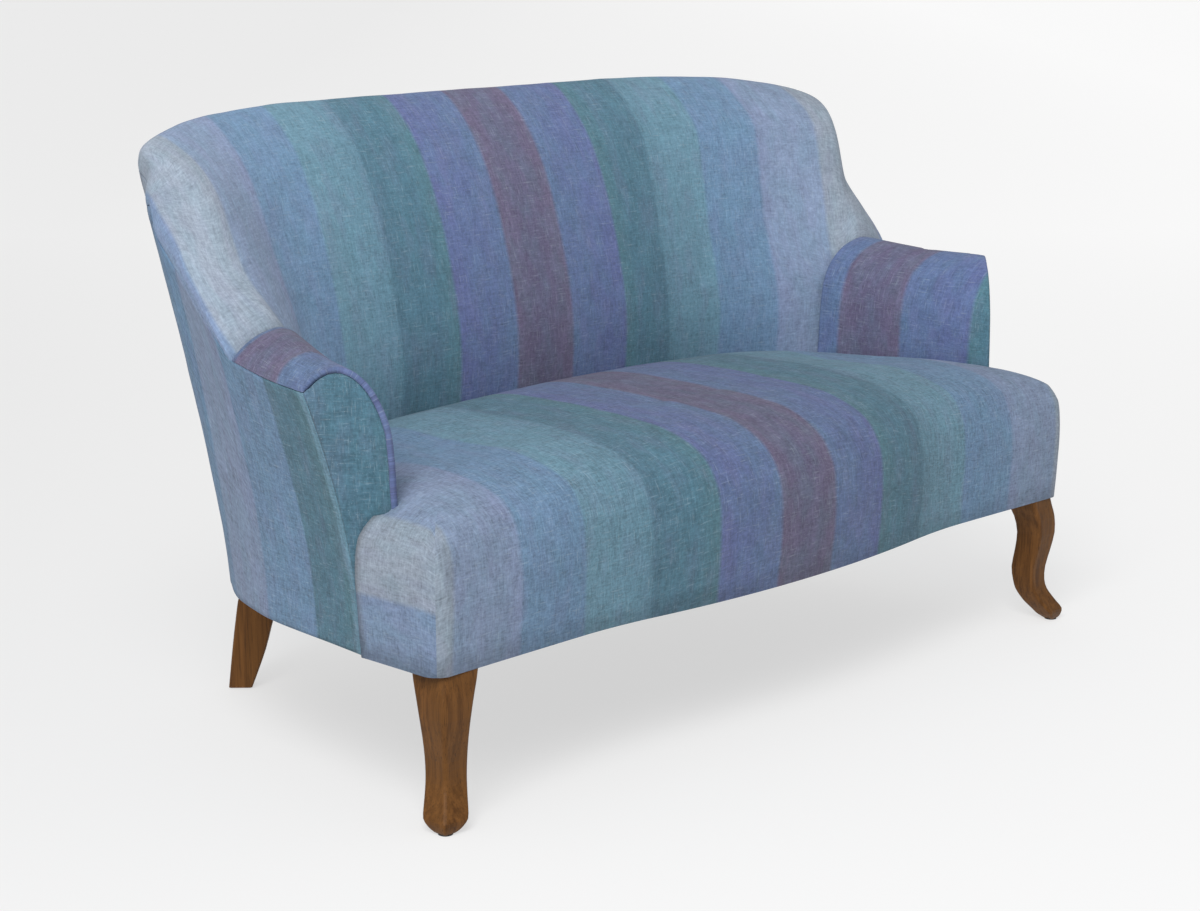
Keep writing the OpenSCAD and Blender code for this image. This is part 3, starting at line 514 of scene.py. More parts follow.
def edge_ring(step, deep=0.0):
    """Ring of the seat at a step of its edge's profile, this deep inside the surface."""
    front_in, rear_in, drop = curve(SEAT_EDGE, step / EDGE_STEPS)[0]
    z = BOTTOM if step == 0 else SEAT_TOP - drop - deep
    low = SEAT_H - 45 + 3 * step
    sags = 1 - ramp(step, EDGE_STEPS - 1, EDGE_STEPS)
    return seat_ring(front_in + deep, max(rear_in, 0) + 0.7 * deep, z, low, deep, sags)


def close_top(ring):
    """Rows that close the seat's top, from its last ring in to near a line along its middle."""
    middle = ring[:, 1].mean()
    x = ring[:, 0] * 0.9
    heights = []
    for side in (ring[ring[:, 1] < middle], ring[ring[:, 1] >= middle]):
        side = side[np.argsort(side[:, 0])]
        heights.append(np.interp(x, side[:, 0], side[:, 2]))
    height = np.mean(heights, axis=0)
    heart = np.column_stack([x, np.full(len(ring), middle), height + 2])
    return [blend(ring, heart, k) + (0, 0, 2 * k * (1 - k)) for k in (0.2, 0.4, 0.6, 0.78, 0.9)]


def zip_across(ring):
    """Triangles that close a ring, each from its front side to its back side."""
    n = len(ring)
    first, last = int(np.argmin(ring[:, 0])), int(np.argmax(ring[:, 0]))
    one, other = (first + 1) % n, first
    triangles = []
    while one != last or other != (last + 1) % n:
        ahead, behind = (one + 1) % n, (other - 1) % n
        if other == (last + 1) % n or one != last and ring[ahead, 0] <= ring[behind, 0]:
            triangles.append([one, ahead, other])
            one = ahead
        else:
            triangles.append([one, behind, other])
            other = behind
    return triangles


def from_front(rings):
    """Count of columns from the middle of the front, on either side."""
    column = np.arange(rings.shape[1])
    return np.minimum(column, len(column) - column)


def seat_rings():
    """Rings of the seat's cloth, from its underside up and in to the middle of its top."""
    rings = [edge_ring(k) for k in np.linspace(0, EDGE_STEPS, EDGE_ROWS)]
    rings = np.array(rings + close_top(rings[-1]))
    beside_mitre = ramp(np.abs(from_front(rings) - TURN_COLUMN), 48, 24)
    return soften(rings, ramp(np.arange(len(rings)), 30, 42)[:, None] * beside_mitre)


def wrapped(values):
    return np.concatenate([values[:, -WRAP:], values, values[:, :WRAP]], axis=1)


def fill_seat(rings):
    """Fills out the seat's cloth by simulation, held at its foot and where arms and back hide it."""
    column, row, height = from_front(rings), np.arange(len(rings))[:, None], rings[..., 2]
    hidden = ramp(column, ARM_COLUMN - 4, ARM_COLUMN + 2) * ramp(height, SEAT_H + 18, SEAT_H + 8)
    foot = ramp(height, BOTTOM + 12, BOTTOM + 3)
    behind = (column >= ARM_COLUMN) * ramp(row, 46, 40)
    held = np.maximum(np.maximum(hidden, foot), behind)
    out = np.sign(wrapped(rings) - rings.mean(axis=(0, 1))) * (0.2, 0.2, 1)
    filled = puff(wrapped(rings), out, wrapped(held), (2, 3), 0.12 * PRESSURE, 8, 0.002, EDGE_ROWS)
    filled = filled[:EDGE_ROWS, WRAP:-WRAP]
    return np.concatenate([filled, close_top(filled[-1])])


def seat_places(rings):
    """Places in the cloth on the seat's front and on its ends, measured out from the flat of its top."""
    dx, dy, dz = (np.diff(rings[..., i], axis=0) for i in range(3))
    down_front, down_end = np.zeros((2, *rings.shape[:2]))
    for i in range(FLAT_ROW, 0, -1):
        down_front[i - 1] = down_front[i] + np.hypot(dy[i - 1], dz[i - 1])
        down_end[i - 1] = down_end[i] + np.hypot(dx[i - 1], dz[i - 1])
    flat = rings[FLAT_ROW]
    front = np.stack([rings[..., 0], flat[:, 1] - down_front], axis=-1)
    reach = np.abs(flat[:, 0]) + down_end
    # The stripes on the ends lie a little further out, most of all beside the mitre
    near_turn = np.exp(-np.maximum(from_front(rings) - TURN_COLUMN, 0) / 9)
    reach = reach - (8 + 16 * near_turn) * ramp(reach, 690, 740) * ramp(reach, 872, 760)
    end = np.stack([np.sign(rings[..., 0]) * reach, rings[..., 1]], axis=-1)
    on_edge = (np.arange(len(rings)) < FLAT_ROW)[:, None, None]
    return [np.where(on_edge, part, rings[..., :2]) for part in (front, end)]


def seat_relief(rings):
    """Seat's cloth with its mitres run in, its lower edge rolled under and waves where it shows."""
    n = rings.shape[1]
    row, column, height = np.arange(len(rings))[:, None], np.arange(n), rings[..., 2]
    gap = np.linalg.norm(np.roll(rings, -1, axis=1) - rings, axis=2).mean(axis=0)
    from_mitre = np.abs(from_front(rings) - TURN_COLUMN) * gap
    out = grid_square(rings)
    out *= np.sign(np.sum(out[10, 10] * (0, -1, 0)))
    waves = 1.0 * ripple(rings, 95, 5) + 0.4 * ripple(rings, 38, 6)
    seam = 0.8 * np.exp(-(from_mitre / 4) ** 2) * ramp(row, 32, 22)
    low_roll = 1.5 * np.exp(-(height - BOTTOM) / 5)
    before_arm = (column <= ARM_COLUMN) | (column >= n - ARM_COLUMN)
    shows = np.clip(ramp(height, SEAT_H - 45, SEAT_H - 20) + before_arm, 0, 1)
    push = waves * shows * ramp(height, BOTTOM, BOTTOM + 12) - seam - low_roll
    return rings + out * push[..., None]


def make_seat():
    outer = fill_seat(seat_rings())
    front, end = seat_places(outer)
    outer = seat_relief(outer)
    inner = [edge_ring(0, COVER), seat_ring(COVER + 1, 0.7 * COVER + 4, CEILING, CEILING, COVER + 3)]
    stack = np.concatenate([outer[::-1], np.array(inner)])
    front, end = (np.array([*part[::-1], part[0], part[0]]) for part in (front, end))
    total, n = stack.shape[:2]
    index = np.arange(total * n).reshape(total, n)
    faces, places = [], []
    for i in range(total - 1):
        for j in range(n):
            k = (j + 1) % n
            at_end = TURN_COLUMN <= j < ARM_COLUMN or n - ARM_COLUMN <= j < n - TURN_COLUMN
            side = end if at_end else front
            corners = ((i, j), (i + 1, j), (i + 1, k), (i, k))
            faces.append([index[c] for c in corners])
            places += [side[c] for c in corners]
    for corners in zip_across(outer[-1]):
        faces.append(index[0][corners])
        places += list(front[0][corners])
    faces.append(index[-1][::-1])
    places += list(front[-1][::-1])
    piece = make("seat_upholstery", stack.reshape(-1, 3), [tuple(map(int, f)) for f in faces], places)
    finish_piece(piece, "seat_cover", "seat_foam", "seat_hessian", "seat_webbing", fill=0.9)


# Inside of the back with its wings
FOAM_IN = COVER + 0.5
TONGUE_U, TONGUE_V = 0.56, 0.3  # behind an arm, past the one and below the other, the cover is thin
PALE_STRIPE = 5.5 * PITCH  # inner edge of the pale stripe
# Width of the strip outside the pale one, along the wing's seam, and over the height of the left wing
WING_STRIP, LEFT_STRIP = 20, ((0.33, 0.45, 0.6, 0.72), (20, 44, 44, 20))
# How far the right half of the cloth is drawn in, at lengths from the middle: low down, and at the wing
DRAWN_LOW, DRAWN_WING = ((202, 312, 570), (0, 24, 38)), ((605, 720), (0, 14))


def back_depth(us, vs):
    """How deep the back's upholstery goes: its cover, and the foam behind its middle."""
    u, v = np.meshgrid(us, vs)
    wing = np.abs(2 * u - 1)
    cover = np.minimum(blend(COVER, 2.2, ramp(wing, 0.5, 0.57)), blend(COVER, 4, ramp(v, 0.86, 1)))
    foam = ramp(wing, 0.52, 0.5) * ramp(v, 10.4 / 14, 10 / 14)
    return blend(cover, FOAM_IN + BACK_FOAM + BACKING, foam)


def back_places(front, vs):
    """Places in the cloth over the inside of the back, measured from its middle."""
    along, up = run_lengths(front, 1), run_lengths(front, 0)
    middle = front.shape[1] // 2
    along -= along[:, middle][:, None]
    along = (along + np.interp(along, *DRAWN_LOW) * ramp(vs, 0.6, 0.34)[:, None]
             + np.interp(along, *DRAWN_WING) * ramp(vs, 0.9, 0.6)[:, None])
    # The pale stripe and the strip outside it fill what is left of each row
    left = along < 0
    reach = np.where(left, -along[:, :1], along[:, -1:])
    strip = np.where(left, np.interp(vs, *LEFT_STRIP)[:, None], WING_STRIP)
    past = np.maximum(np.abs(along) - PALE_STRIPE, 0) / np.maximum(reach - PALE_STRIPE, 1)
    drawn = np.sign(along) * (PALE_STRIPE + past * (PITCH + strip))
    along = blend(along, drawn, (past > 0) * ramp(reach, 5.6 * PITCH, 6 * PITCH))
    return cloth_places(along, up[:, middle])


def make_back():
    us, vs = np.linspace(0, 1, 28 * 8 + 1), np.linspace(0, 1, 14 * 8 + 1)
    front, out, back = layers(BACK_NET, back_depth, us, vs)
    wing = np.abs(2 * us - 1)[None, :]
    tongue = (wing > TONGUE_U) & (vs < TONGUE_V)[:, None]
    back[tongue] = front[tongue] + (0, 3, 0)
    cloth = back_places(front, vs)
    edge = seam_distance(front, ("left", "right", "top", "low"))
    crest = ramp(vs, 0.68, 0.84)[:, None]
    behind_arm = ramp(wing, 0.46, 0.54) * ramp(vs, 0.42, 0.3)[:, None]
    held = np.maximum(ramp(edge, 14, 4), np.maximum(crest, behind_arm))
    front = puff(front, out, held, (2, 3), 0.3 * PRESSURE, 8)
    shaped = upholster(front, out, ("left", "right", "top"), 2)
    piece = slab("back_upholstery", np.where(tongue[..., None], front, shaped), back, cloth)
    # The back takes a lighter copy of the same linen: painted light.
    finish_piece(piece, "inside_back_cover", "back_foam", "back_hessian",
                 "back_strap_1", "back_strap_2", "back_strap_3", fill=0.8, cloth="linen_painted_light")


# Arms
# How far along each arm its stripes change, from the rear, and the places in the cloth that lie there
ARM_CLOTH = {"right": ((0, 40, 160, 292, 345), (-112, -67.2, 67.2, 201.7, 255)),
             "left": ((0, 8, 128, 345), (-76, -67.2, 67.2, 200))}
ARM_SEED = {"right": 11, "left": 12}


def arm_depth(us, vs):
    """How deep an arm's upholstery goes: its cover, and the foam behind its middle."""
    u, v = np.meshgrid(us, vs)
    cover = np.minimum.reduce([np.full(u.shape, COVER), blend(4, COVER, np.minimum(u * 8, 1)),
                               blend(COVER, 9, u), blend(COVER, 3, ramp(v, 0.86, 1))])
    foam = ramp(u, 0.1, 0.125) * ramp(u, 0.775, 0.75) * ramp(v, 0.12, 2 / 14) * ramp(v, 0.88, 12 / 14)
    return blend(cover, FOAM_IN + ARM_FOAM, foam)


def make_arm(side):
    us, vs = np.linspace(0, 1, 8 * 6 + 1), np.linspace(0, 1, 14 * 6 + 1)
    front, out, back = layers(ARM_NET, arm_depth, us, vs)
    edge = seam_distance(front, ("left", "right", "top", "low"))
    front = puff(front, out, ramp(edge, 12, 3), (2, 2), 2 * PRESSURE, 5, 0.004)
    along = np.interp(run_lengths(front, 1), *ARM_CLOTH[side])
    cloth = cloth_places(along, run_lengths(front, 0)[:, 0])
    shaped = upholster(front, out, ("right", "top"), ARM_SEED[side], roll=0.5, full=0.7)
    piece = slab("arm_upholstery_" + side, shaped, back, cloth, side)
    # The right arm takes the lighter copy of the linen, painted light; the left arm takes the plain one.
    finish_piece(piece, "inside_arm_cover_" + side, "arm_foam_" + side, fill=0.85,
                 cloth="linen_painted_light" if side == "right" else "linen")


# Outside
# Plan of its foot, from the seam at a facing round to the middle of the back, one point for each q
SIDE_PLAN = [(HALF_W + out, BACK_Y - before)
             for out, before in ((39, 552), (32, 472), (25, 407), (14, 354), (-10, 277), (-28, 238),
                                 (-55, 195), (-94, 143), (-190, 62), (-288, 31), (-398, 18))]
PLAN = [(FRONT_W / 2 - 8, ARM_FRONT[1] + 31.5), *SIDE_PLAN, (0, BACK_Y - OUTER_LEAN + 3)]
# Values of q where the arm meets the wing, at the wing's top corner, at its root, and midway
WING_Q, CORNER_Q, SEAM_Q, MIDDLE_Q = 4, 7, 8, 12
SEAM_SPLIT = 0.005  # of q, from the rear seam to either outside
ROOT_U = 11 / 14  # u of the back at the root of the wing
WING_GAP = 0.6  # keeps the outside clear of the wing's steep seam
SEAM_DROP = 1.8  # of the outside's edge below the seam it meets
# Columns of the outside of an arm: even steps, and the two ends of the wing's outer edge
ARM_STEPS = np.unique(np.append(np.linspace(0, SEAM_Q - SEAM_SPLIT, 91), (WING_Q, CORNER_Q)))
BACK_STEPS = np.linspace(SEAM_Q + SEAM_SPLIT, 2 * MIDDLE_Q - SEAM_Q - SEAM_SPLIT, 101)
# How far along the outside of an arm its stripes change, from the facing, and the places in the cloth there
OUTSIDE_CLOTH = ((0, 14, 112, 245, 380, 1200), (53, 67.3, 201.7, 336.3, 470.8, 1290))


def point_on(net, u, v):
    return surface(net, np.array([u]), np.array([v]))[0, 0]


def seam_point(q):
    """Seam of the outside with the arm, the wing and the crest."""
    if q <= WING_Q:
        return point_on(ARM_NET, 1 - q / WING_Q, 1)
    if q <= CORNER_Q:
        return point_on(BACK_NET, 1, blend(2 / 7, 1, (q - WING_Q) / (CORNER_Q - WING_Q)))
    if q <= SEAM_Q:
        return point_on(BACK_NET, blend(1, ROOT_U, q - CORNER_Q), 1)
    return point_on(BACK_NET, blend(ROOT_U, 0.5, (q - SEAM_Q) / (MIDDLE_Q - SEAM_Q)), 1)


def outside_column(q, ts):
    """Line up the outside from its foot to its seam; it runs hollow at the arm and straight at the back."""
    if q > MIDDLE_Q:
        return mirrored(outside_column(2 * MIDDLE_Q - q, ts))
    foot = curve(PLAN, q / MIDDLE_Q)[0]
    seam = seam_point(q) + (0, WING_GAP * ramp(q, 3, 4) * ramp(q, 8, 7), 0)
    hollow = blend(2, blend(1.25, 1, ramp(q, 9, 10)), ramp(q, 3, 6))
    across = ts**hollow
    along = blend(ts**(1 + 0.5 * max(1 - q / 2, 0)), across, 0.6 * ramp(q, 5, 7))
    return np.stack([blend(foot[0], seam[0] - 0.5, across), blend(foot[1], seam[1], along),
                     blend(BOTTOM, seam[2] - SEAM_DROP, ts)], axis=1)


def make_outside(name, node, qs, seed, side="right"):
    ts = np.linspace(0, 1, 61)
    front = np.stack([outside_column(q, ts) for q in qs], axis=1)
    out = grid_square(front)
    centre = front[30, len(qs) // 2]
    out *= np.sign(np.sum(out[30, len(qs) // 2] * (centre - (0, 0, front[30, 0, 2]))))
    back = front - out * SKIN
    along = run_lengths(front, 1)
    arm = node != "outside_back_cover"
    along = np.interp(along, *OUTSIDE_CLOTH) if arm else along - along[:, len(qs) // 2][:, None]
    cloth = cloth_places(along, run_lengths(front, 0)[:, 0])
    shaped = upholster(front, out, ("left", "right", "top", "low"), seed, roll=0.5, full=0.8)
    piece = slab(name, shaped, back, cloth, side)
    # Each outside of an arm takes a darker copy of the linen, in the outside's own stripe order: painted
    # shade.
    finish_piece(piece, node, fill=0.1, cloth="linen_outside_painted_shade" if arm else "linen")


# Facings
FACING_CLOTH = 75  # place of the facing's inner edge in the cloth
FACING_LOW = LEG_H + 100  # below this the seat's end lies before the facing's inner half
FACING_FROM = 44  # there the facing starts this far out
FACING_SWELL = 5
FACING_FRONT, FACING_BACK = -1, -9  # its cloth and its underside, out of the facing's plane
LOW_BEND = 8  # how far the low strip's inner edge bends forward, to the seat's end
EDGE_GAP = 0.2  # how far inside the arm's own edge it stays


def facing_sides():
    """Edges of the facing from its foot to its top.

    Gives the heights, the inner and the outer edge along the facing, the edge of the outside beside it, and
    which heights lie under the arm's own end.
    """
    us, vs = np.array([0.98, 1.0]), np.linspace(0, 1, 200)
    rim = layers(ARM_NET, arm_depth, us, vs)[2][:, -1]
    t = (rim[:, :2] - FACING_FOOT) @ FACING_DIR
    top = int(np.argmax(rim[:, 2]))
    heights = blend(BOTTOM, rim[top, 2] - 0.6, np.sin(np.linspace(0, math.pi / 2, 75)))
    inner = np.interp(heights, rim[:top + 1, 2], t[:top + 1] + EDGE_GAP)
    inner = np.where(heights < FACING_LOW, FACING_FROM, inner)
    outer = np.interp(heights, rim[:top - 1:-1, 2], t[:top - 1:-1] - EDGE_GAP)
    side = outside_column(0, (heights - BOTTOM) / (seam_point(0)[2] - SEAM_DROP - BOTTOM))
    beside = (side[:, 0] - FACING_FOOT[0] - SLACK) / FACING_DIR[0]
    under = heights < rim[-1, 2]
    return heights, inner, np.where(under, beside, np.minimum(outer, beside[-1:] + 60)), side, under


def facing_grid(near, swell):
    """Grid of points across the facing, near of it out of its plane, swelling in its middle."""
    grid = []
    k = np.linspace(0, 1, 25)
    for z, inner, outer, side, under in zip(*facing_sides()):
        line = np.array([on_facing(blend(inner, outer, f), z) for f in k])
        lift = near + swell * min(1, max(outer - inner, 0) / 40) * np.sin(np.pi * k) ** 0.7
        line += lift[:, None] * (FACING_DIR[1], -FACING_DIR[0], 0)
        if under:
            line[:, 1] += (side[1] - 0.8 - line[-1, 1]) * ramp(k, 0.6, 1) ** 2
        if z < FACING_LOW:
            line[:, 1] -= LOW_BEND * (1 - k)
        grid.append(line)
    return np.array(grid)


def make_facing(side):
    front, back = facing_grid(FACING_FRONT, FACING_SWELL), facing_grid(FACING_BACK, 0)
    across = (front - on_facing(0, 0))[..., 0] / FACING_DIR[0]
    cloth = np.stack([FACING_CLOTH + across, front[..., 2]], axis=-1)
    piece = slab("facing_" + side, front, back, cloth, side)
    # The facing takes that darker copy of the linen too: painted shade.
    finish_piece(piece, "arm_facing_" + side, fill=0.4, cloth="linen_outside_painted_shade")


# Dust cover
def make_dust_cover():
    """Cloth under the rails: its flat size is its node's, and its area half of that of its level faces."""
    mesh = NODES["dust_cover"].data.copy()
    piece = placed("underside_cloth", mesh)
    mesh.materials.clear()
    mesh.materials.append(MATERIALS["dust_cloth"])
    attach(piece, "root")
    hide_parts("dust_cover")


# Materials
def linear(rgb):
    """Colour for a shader from 8-bit screen values."""
    return [(c / 255 / 12.92 if c <= 10 else ((c / 255 + 0.055) / 1.055) ** 2.4) for c in rgb] + [1.0]


class Shade:
    """A material whose nodes are added one by one."""

    def __init__(self, name):
        self.material = bpy.data.materials.new(name)
        self.material.use_nodes = True
        self.tree = self.material.node_tree
        self.shader = self.tree.nodes["Principled BSDF"]

    def add(self, kind, settings=None, **inputs):
        node = self.tree.nodes.new(kind)
        for key, value in (settings or {}).items():
            setattr(node, key, value)
        for key, value in inputs.items():
            self.set(node, key, value)
        return node

    def set(self, node, key, value):
        """Sets or links an input, named by its name or, as in i2, by its number."""
        socket = node.inputs[int(key[1:]) if key[0] == "i" and key[1:].isdigit() else key.replace("_", " ")]
        if isinstance(value, bpy.types.NodeSocket):
            self.tree.links.new(value, socket)
        else:
            socket.default_value = value

    def math(self, operation, a, b=0.0, c=0.0):
        return self.add("ShaderNodeMath", {"operation": operation}, i0=a, i1=b, i2=c).outputs[0]

    def vector(self, operation, **inputs):
        return self.add("ShaderNodeVectorMath", {"operation": operation}, **inputs).outputs[0]

    def stretch(self, vector, scale):
        return self.add("ShaderNodeMapping", Vector=vector, Scale=scale).outputs[0]

    def noise(self, vector, scale=(1, 1, 1), detail=2.0, rough=0.5):
        return self.add("ShaderNodeTexNoise", Vector=self.stretch(vector, scale), Scale=1.0,
                        Detail=detail, Roughness=rough).outputs["Fac"]

    def band(self, value, low, high):
        return self.add("ShaderNodeMapRange", {"clamp": True}, i0=value, i1=low, i2=high).outputs[0]

    def mix(self, factor, a, b):
        return self.add("ShaderNodeMix", {"data_type": "RGBA"}, i0=factor, i6=a, i7=b).outputs[2]

    def tint(self, colour, value, low, high, share, rgb):
        """Mixes a share of another colour in where the value goes from low to high."""
        factor = self.math("MULTIPLY", self.band(value, low, high), share)
        return self.mix(factor, colour, linear(rgb))

    def bump(self, height, strength, distance):
        return self.add("ShaderNodeBump", Height=height, Strength=strength, Distance=distance).outputs[0]

    def place(self):
        return self.add("ShaderNodeTexCoord").outputs["Object"]

    def surface(self, **inputs):
        for key, value in inputs.items():
            self.set(self.shader, key, value)
        return self.material


def stripe_colours(shade, place, stripes):
    """Colour of the stripe that each place across the cloth lies in."""
    reach = PITCH * MM * len(stripes)
    node = shade.add("ShaderNodeValToRGB", i0=shade.math("DIVIDE", shade.math("ABSOLUTE", place), reach))
    table = node.color_ramp
    edge = 0.0005
    stops = []
    for k, (inner, middle, outer) in enumerate(stripes):
        low, high = max(k - 0.5, 0) / len(stripes), (k + 0.5) / len(stripes)
        stops += [(low + edge, inner), (blend(low, high, 0.35), middle), (high - edge, outer)]
    while len(table.elements) > 1:
        table.elements.remove(table.elements[-1])
    for k, (position, rgb) in enumerate(stops):
        stop = table.elements[0] if k == 0 else table.elements.new(position)
        stop.position = position
        stop.color = linear(rgb)
    return node.outputs[0]


# Unevenness in the linen's tone: threads across and along each metre, detail, and share in the tone
UNEVEN = [((150, 22, 1), 3, 0.60), ((24, 190, 1), 3, 0.42), ((38, 38, 1), 3, 0.50), ((9, 9, 1), 2, 0.25),
          ((320, 110, 1), 2, 0.70), ((110, 320, 1), 2, 0.70)]
FRAY = 0.004  # metres by which the edge of a stripe wanders
COOL, WARM, LIGHT_THREAD = (84, 128, 140), (112, 108, 140), (176, 190, 200)
HUE_SHARE = 0.14  # of the cool and the warm patches
SLUB_SHARE, FLECK_SHARE = 0.16, 0.35  # of the light threads and flecks


def linen(name, lightness, stripes):
    """Striped linen: a fine weave with uneven threads, mottled in tone and hue."""
    shade = Shade(name)
    place = shade.add("ShaderNodeUVMap", {"uv_map": "cloth"}).outputs[0]
    across = shade.add("ShaderNodeSeparateXYZ", Vector=place).outputs[0]
    fray = shade.noise(place, (60, 700, 1))
    frayed = shade.math("MULTIPLY_ADD", fray, FRAY, shade.math("ADD", across, -FRAY / 2))
    base = stripe_colours(shade, frayed, stripes)
    tone = lightness
    for scale, detail, share in UNEVEN:
        uneven = shade.math("ADD", shade.noise(place, scale, detail, 0.6), -0.5)
        tone = shade.math("MULTIPLY_ADD", uneven, share, tone)
    cool = shade.noise(place, (30, 14, 1), 3)
    warm = shade.noise(shade.stretch(place, (-1, 1, 1)), (34, 12, 1), 3)
    colour = shade.tint(base, cool, 0.42, 0.62, HUE_SHARE, COOL)
    colour = shade.tint(colour, warm, 0.48, 0.66, HUE_SHARE, WARM)
    colour = shade.vector("SCALE", i0=colour, Scale=tone)
    for slub in ((380, 36, 1), (36, 340, 1)):
        colour = shade.tint(colour, shade.noise(place, slub, 2), 0.6, 0.72, SLUB_SHARE, LIGHT_THREAD)
    fleck = shade.noise(place, (500, 500, 1), 2)
    colour = shade.tint(colour, fleck, 0.62, 0.8, FLECK_SHARE, LIGHT_THREAD)
    warp, weft = shade.noise(place, (900, 60, 1)), shade.noise(place, (60, 900, 1))
    height = shade.math("ADD", shade.math("ADD", warp, weft), fleck)
    return shade.surface(Base_Color=colour, Roughness=0.92, Sheen_Weight=0.08, Sheen_Roughness=0.6,
                         Specular_IOR_Level=0.12, Normal=shade.bump(height, 0.45, 0.0009))


def oak():
    """Stained oak with its grain along the leg."""
    shade = Shade("stained_oak")
    place = shade.place()
    bend = shade.noise(place, (9, 9, 3), 2)
    sideways = shade.add("ShaderNodeCombineXYZ", X=shade.math("MULTIPLY", bend, 0.02),
                         Y=shade.math("MULTIPLY", bend, 0.014)).outputs[0]
    shifted = shade.vector("ADD", i0=place, i1=sideways)
    grain = shade.noise(shifted, (150, 150, 4), 4, 0.6)
    pores = shade.noise(shifted, (700, 700, 16), 2)
    broad = shade.noise(shifted, (26, 26, 2), 2)
    colour = shade.mix(shade.band(grain, 0.35, 0.65), linear((77, 48, 21)), linear((108, 71, 35)))
    colour = shade.tint(colour, broad, 0.4, 0.65, 0.5, (100, 66, 30))
    colour = shade.tint(colour, pores, 0.42, 0.32, 0.6, (56, 36, 19))
    roughness = shade.add("ShaderNodeMapRange", i0=grain, i3=0.42, i4=0.58).outputs[0]
    return shade.surface(Base_Color=colour, Roughness=roughness, Specular_IOR_Level=0.14,
                         Normal=shade.bump(shade.math("ADD", grain, pores), 0.25, 0.0006))


def plain_wood():
    """Planed beech of the frame, with its grain along X."""
    shade = Shade("frame_beech")
    grain = shade.noise(shade.place(), (6, 90, 90), 4)
    colour = shade.mix(grain, linear((176, 140, 98)), linear((206, 174, 130)))
    return shade.surface(Base_Color=colour, Roughness=0.7, Normal=shade.bump(grain, 0.2, 0.0005))


def dust_cloth():
    """Black woven cloth of the underside."""
    shade = Shade("dust_cloth")
    place = shade.place()
    weave = shade.math("ADD", shade.noise(place, (900, 40, 1)), shade.noise(place, (40, 900, 1)))
    colour = shade.mix(shade.band(weave, 0.8, 1.2), linear((38, 38, 40)), linear((64, 64, 68)))
    return shade.surface(Base_Color=colour, Roughness=0.95, Normal=shade.bump(weave, 0.4, 0.0005))


def speckled(name, dark, light, roughness, metallic, scale):
    """Plain metal or plastic with a fine speckle."""
    shade = Shade(name)
    grain = shade.noise(shade.place(), (scale, scale, scale), 3)
    return shade.surface(Base_Color=shade.mix(grain, linear(dark), linear(light)), Roughness=roughness,
                         Metallic=metallic, Normal=shade.bump(grain, 0.1, 0.0003))


MATERIALS = {"linen": linen("striped_linen", 0.97, STRIPES),
             # The same linen made lighter: painted light for the back and the right arm.
             "linen_painted_light": linen("striped_linen_painted_light", 1.16, STRIPES),
             # The outside's own stripe order, in a darker copy of the linen: painted shade.
             "linen_outside_painted_shade": linen("striped_linen_outside_painted_shade", 0.91, OUTSIDE_STRIPES),
             "oak": oak(), "frame_wood": plain_wood(), "dust_cloth": dust_cloth(),
             "steel": speckled("bolt_steel", (150, 152, 156), (190, 192, 196), 0.35, 1.0, 300),
             "glide": speckled("glide_plastic", (24, 24, 25), (40, 40, 42), 0.5, 0.0, 400)}


def dress_nodes():
    """Better materials for the frame's own parts that stay."""
    for name, node in NODES.items():
        if node.hide_render:
            continue
        kind = "frame_wood"
        if name.startswith(("front_leg_", "rear_leg_")) and "block" not in name:
            kind = "oak"
        elif name.startswith("leg_bolt"):
            kind = "steel"
        elif name.startswith("glide"):
            kind = "glide"
        node.data.materials.clear()
        node.data.materials.append(MATERIALS[kind])


# Surroundings, in metres
FLOOR_HALF = 60
# Painted light on the floor: its colour goes from FLOOR_DARK to FLOOR_PALE, and it glows by FLOOR_GLOW,
# more by FLOOR_MORE_GLOW.
FLOOR_DARK, FLOOR_PALE = (0.20, 0.20, 0.20, 1), (0.44, 0.44, 0.44, 1)
FLOOR_GLOW, FLOOR_MORE_GLOW = 0.59, 0.12
SKY, SKY_LIGHT = (0.93, 0.93, 0.93, 1), 0.52
CAMERA_PLACE = (-3.026, -2.868, 1.300)
CAMERA_TILT, CAMERA_TURN = math.radians(77.42), math.radians(-46.10)
FOCAL, SENSOR = 75.32, 36  # millimetres
VIEW_END = 200


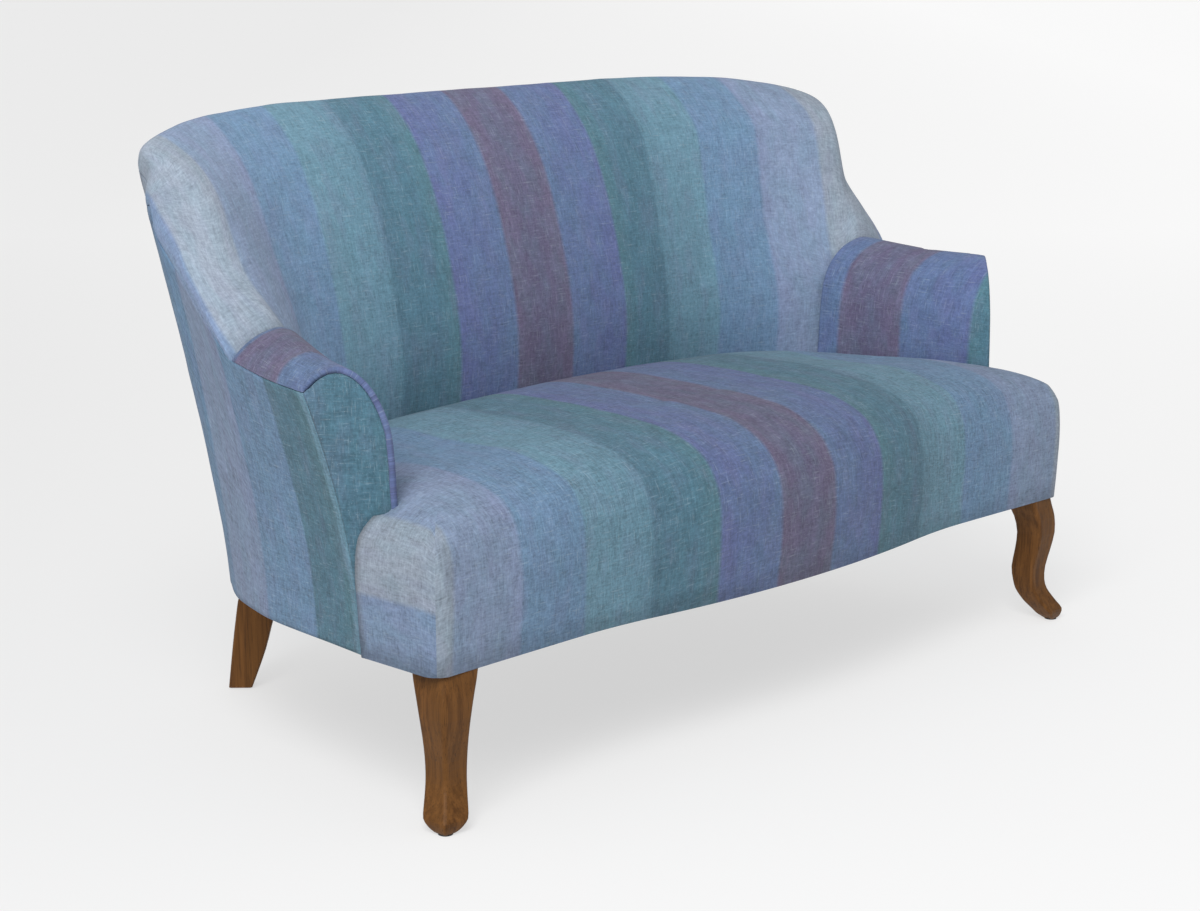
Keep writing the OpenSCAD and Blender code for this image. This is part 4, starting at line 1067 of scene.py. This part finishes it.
def make_floor():
    """Floor with painted light: its colour pales to the front right, and its own glow, though it is no
    lamp, grows to the rear right.
    """
    mesh = bpy.data.meshes.new("floor")
    r = FLOOR_HALF
    mesh.from_pydata([(-r, -r, 0), (r, -r, 0), (r, r, 0), (-r, r, 0)], [], [(0, 1, 2, 3)])
    floor = placed("floor", mesh)
    shade = Shade("studio_floor")
    split = shade.add("ShaderNodeSeparateXYZ", Vector=shade.place())
    x, y = split.outputs[0], split.outputs[1]
    front_right = shade.band(shade.math("SUBTRACT", x, y), -3, 6)
    rear_right = shade.band(shade.math("ADD", x, y), -1, 8)
    glow = shade.math("MULTIPLY_ADD", rear_right, FLOOR_MORE_GLOW, FLOOR_GLOW)
    mesh.materials.append(shade.surface(
        Base_Color=shade.mix(front_right, FLOOR_DARK, FLOOR_PALE), Roughness=0.9, Specular_IOR_Level=0.1,
        Emission_Color=(1, 1, 1, 1), Emission_Strength=glow))


def make_world():
    """Soft even light, and a pale background for the camera alone."""
    world = bpy.data.worlds.new("studio")
    bpy.context.scene.world = world
    world.use_nodes = True
    tree = world.node_tree
    tree.nodes.clear()
    path = tree.nodes.new("ShaderNodeLightPath")
    mixer, output = tree.nodes.new("ShaderNodeMixShader"), tree.nodes.new("ShaderNodeOutputWorld")
    tree.links.new(path.outputs["Is Camera Ray"], mixer.inputs[0])
    for number, colour, strength in ((1, (1, 1, 1, 1), SKY_LIGHT), (2, SKY, 1)):
        light = tree.nodes.new("ShaderNodeBackground")
        light.inputs[0].default_value, light.inputs[1].default_value = colour, strength
        tree.links.new(light.outputs[0], mixer.inputs[number])
    tree.links.new(mixer.outputs[0], output.inputs[0])


def make_light(name, place, aim, size, power):
    data = bpy.data.lights.new(name, "AREA")
    data.shape, data.size, data.energy = "SQUARE", size, power
    lamp = placed(name, data)
    lamp.location = place
    lamp.rotation_euler = (Vector(aim) - Vector(place)).to_track_quat("-Z", "Y").to_euler()


def make_camera():
    data = bpy.data.cameras.new("camera")
    data.lens, data.sensor_width = FOCAL, SENSOR
    data.clip_end = VIEW_END
    camera = placed("camera", data)
    camera.location = CAMERA_PLACE
    camera.rotation_euler = (CAMERA_TILT, 0, CAMERA_TURN)
    bpy.context.scene.camera = camera


make_camera()
make_world()
make_light("key", place=(-3.5, -2.4, 4.6), aim=(0, 0, 0.5), size=3.0, power=280)
make_light("side", place=(-4.5, -0.6, 2.0), aim=(0.4, -0.1, 0.6), size=2.5, power=22)
make_floor()
make_seat()
make_back()
for SIDE, SEED in (("right", 21), ("left", 22)):
    make_arm(SIDE)
    make_facing(SIDE)
    make_outside("outside_arm_" + SIDE, "outside_arm_cover_" + SIDE, ARM_STEPS, SEED, SIDE)
make_outside("outside_back", "outside_back_cover", BACK_STEPS, 23)
make_dust_cover()
dress_nodes()
bpy.context.scene.view_settings.view_transform = "Standard"
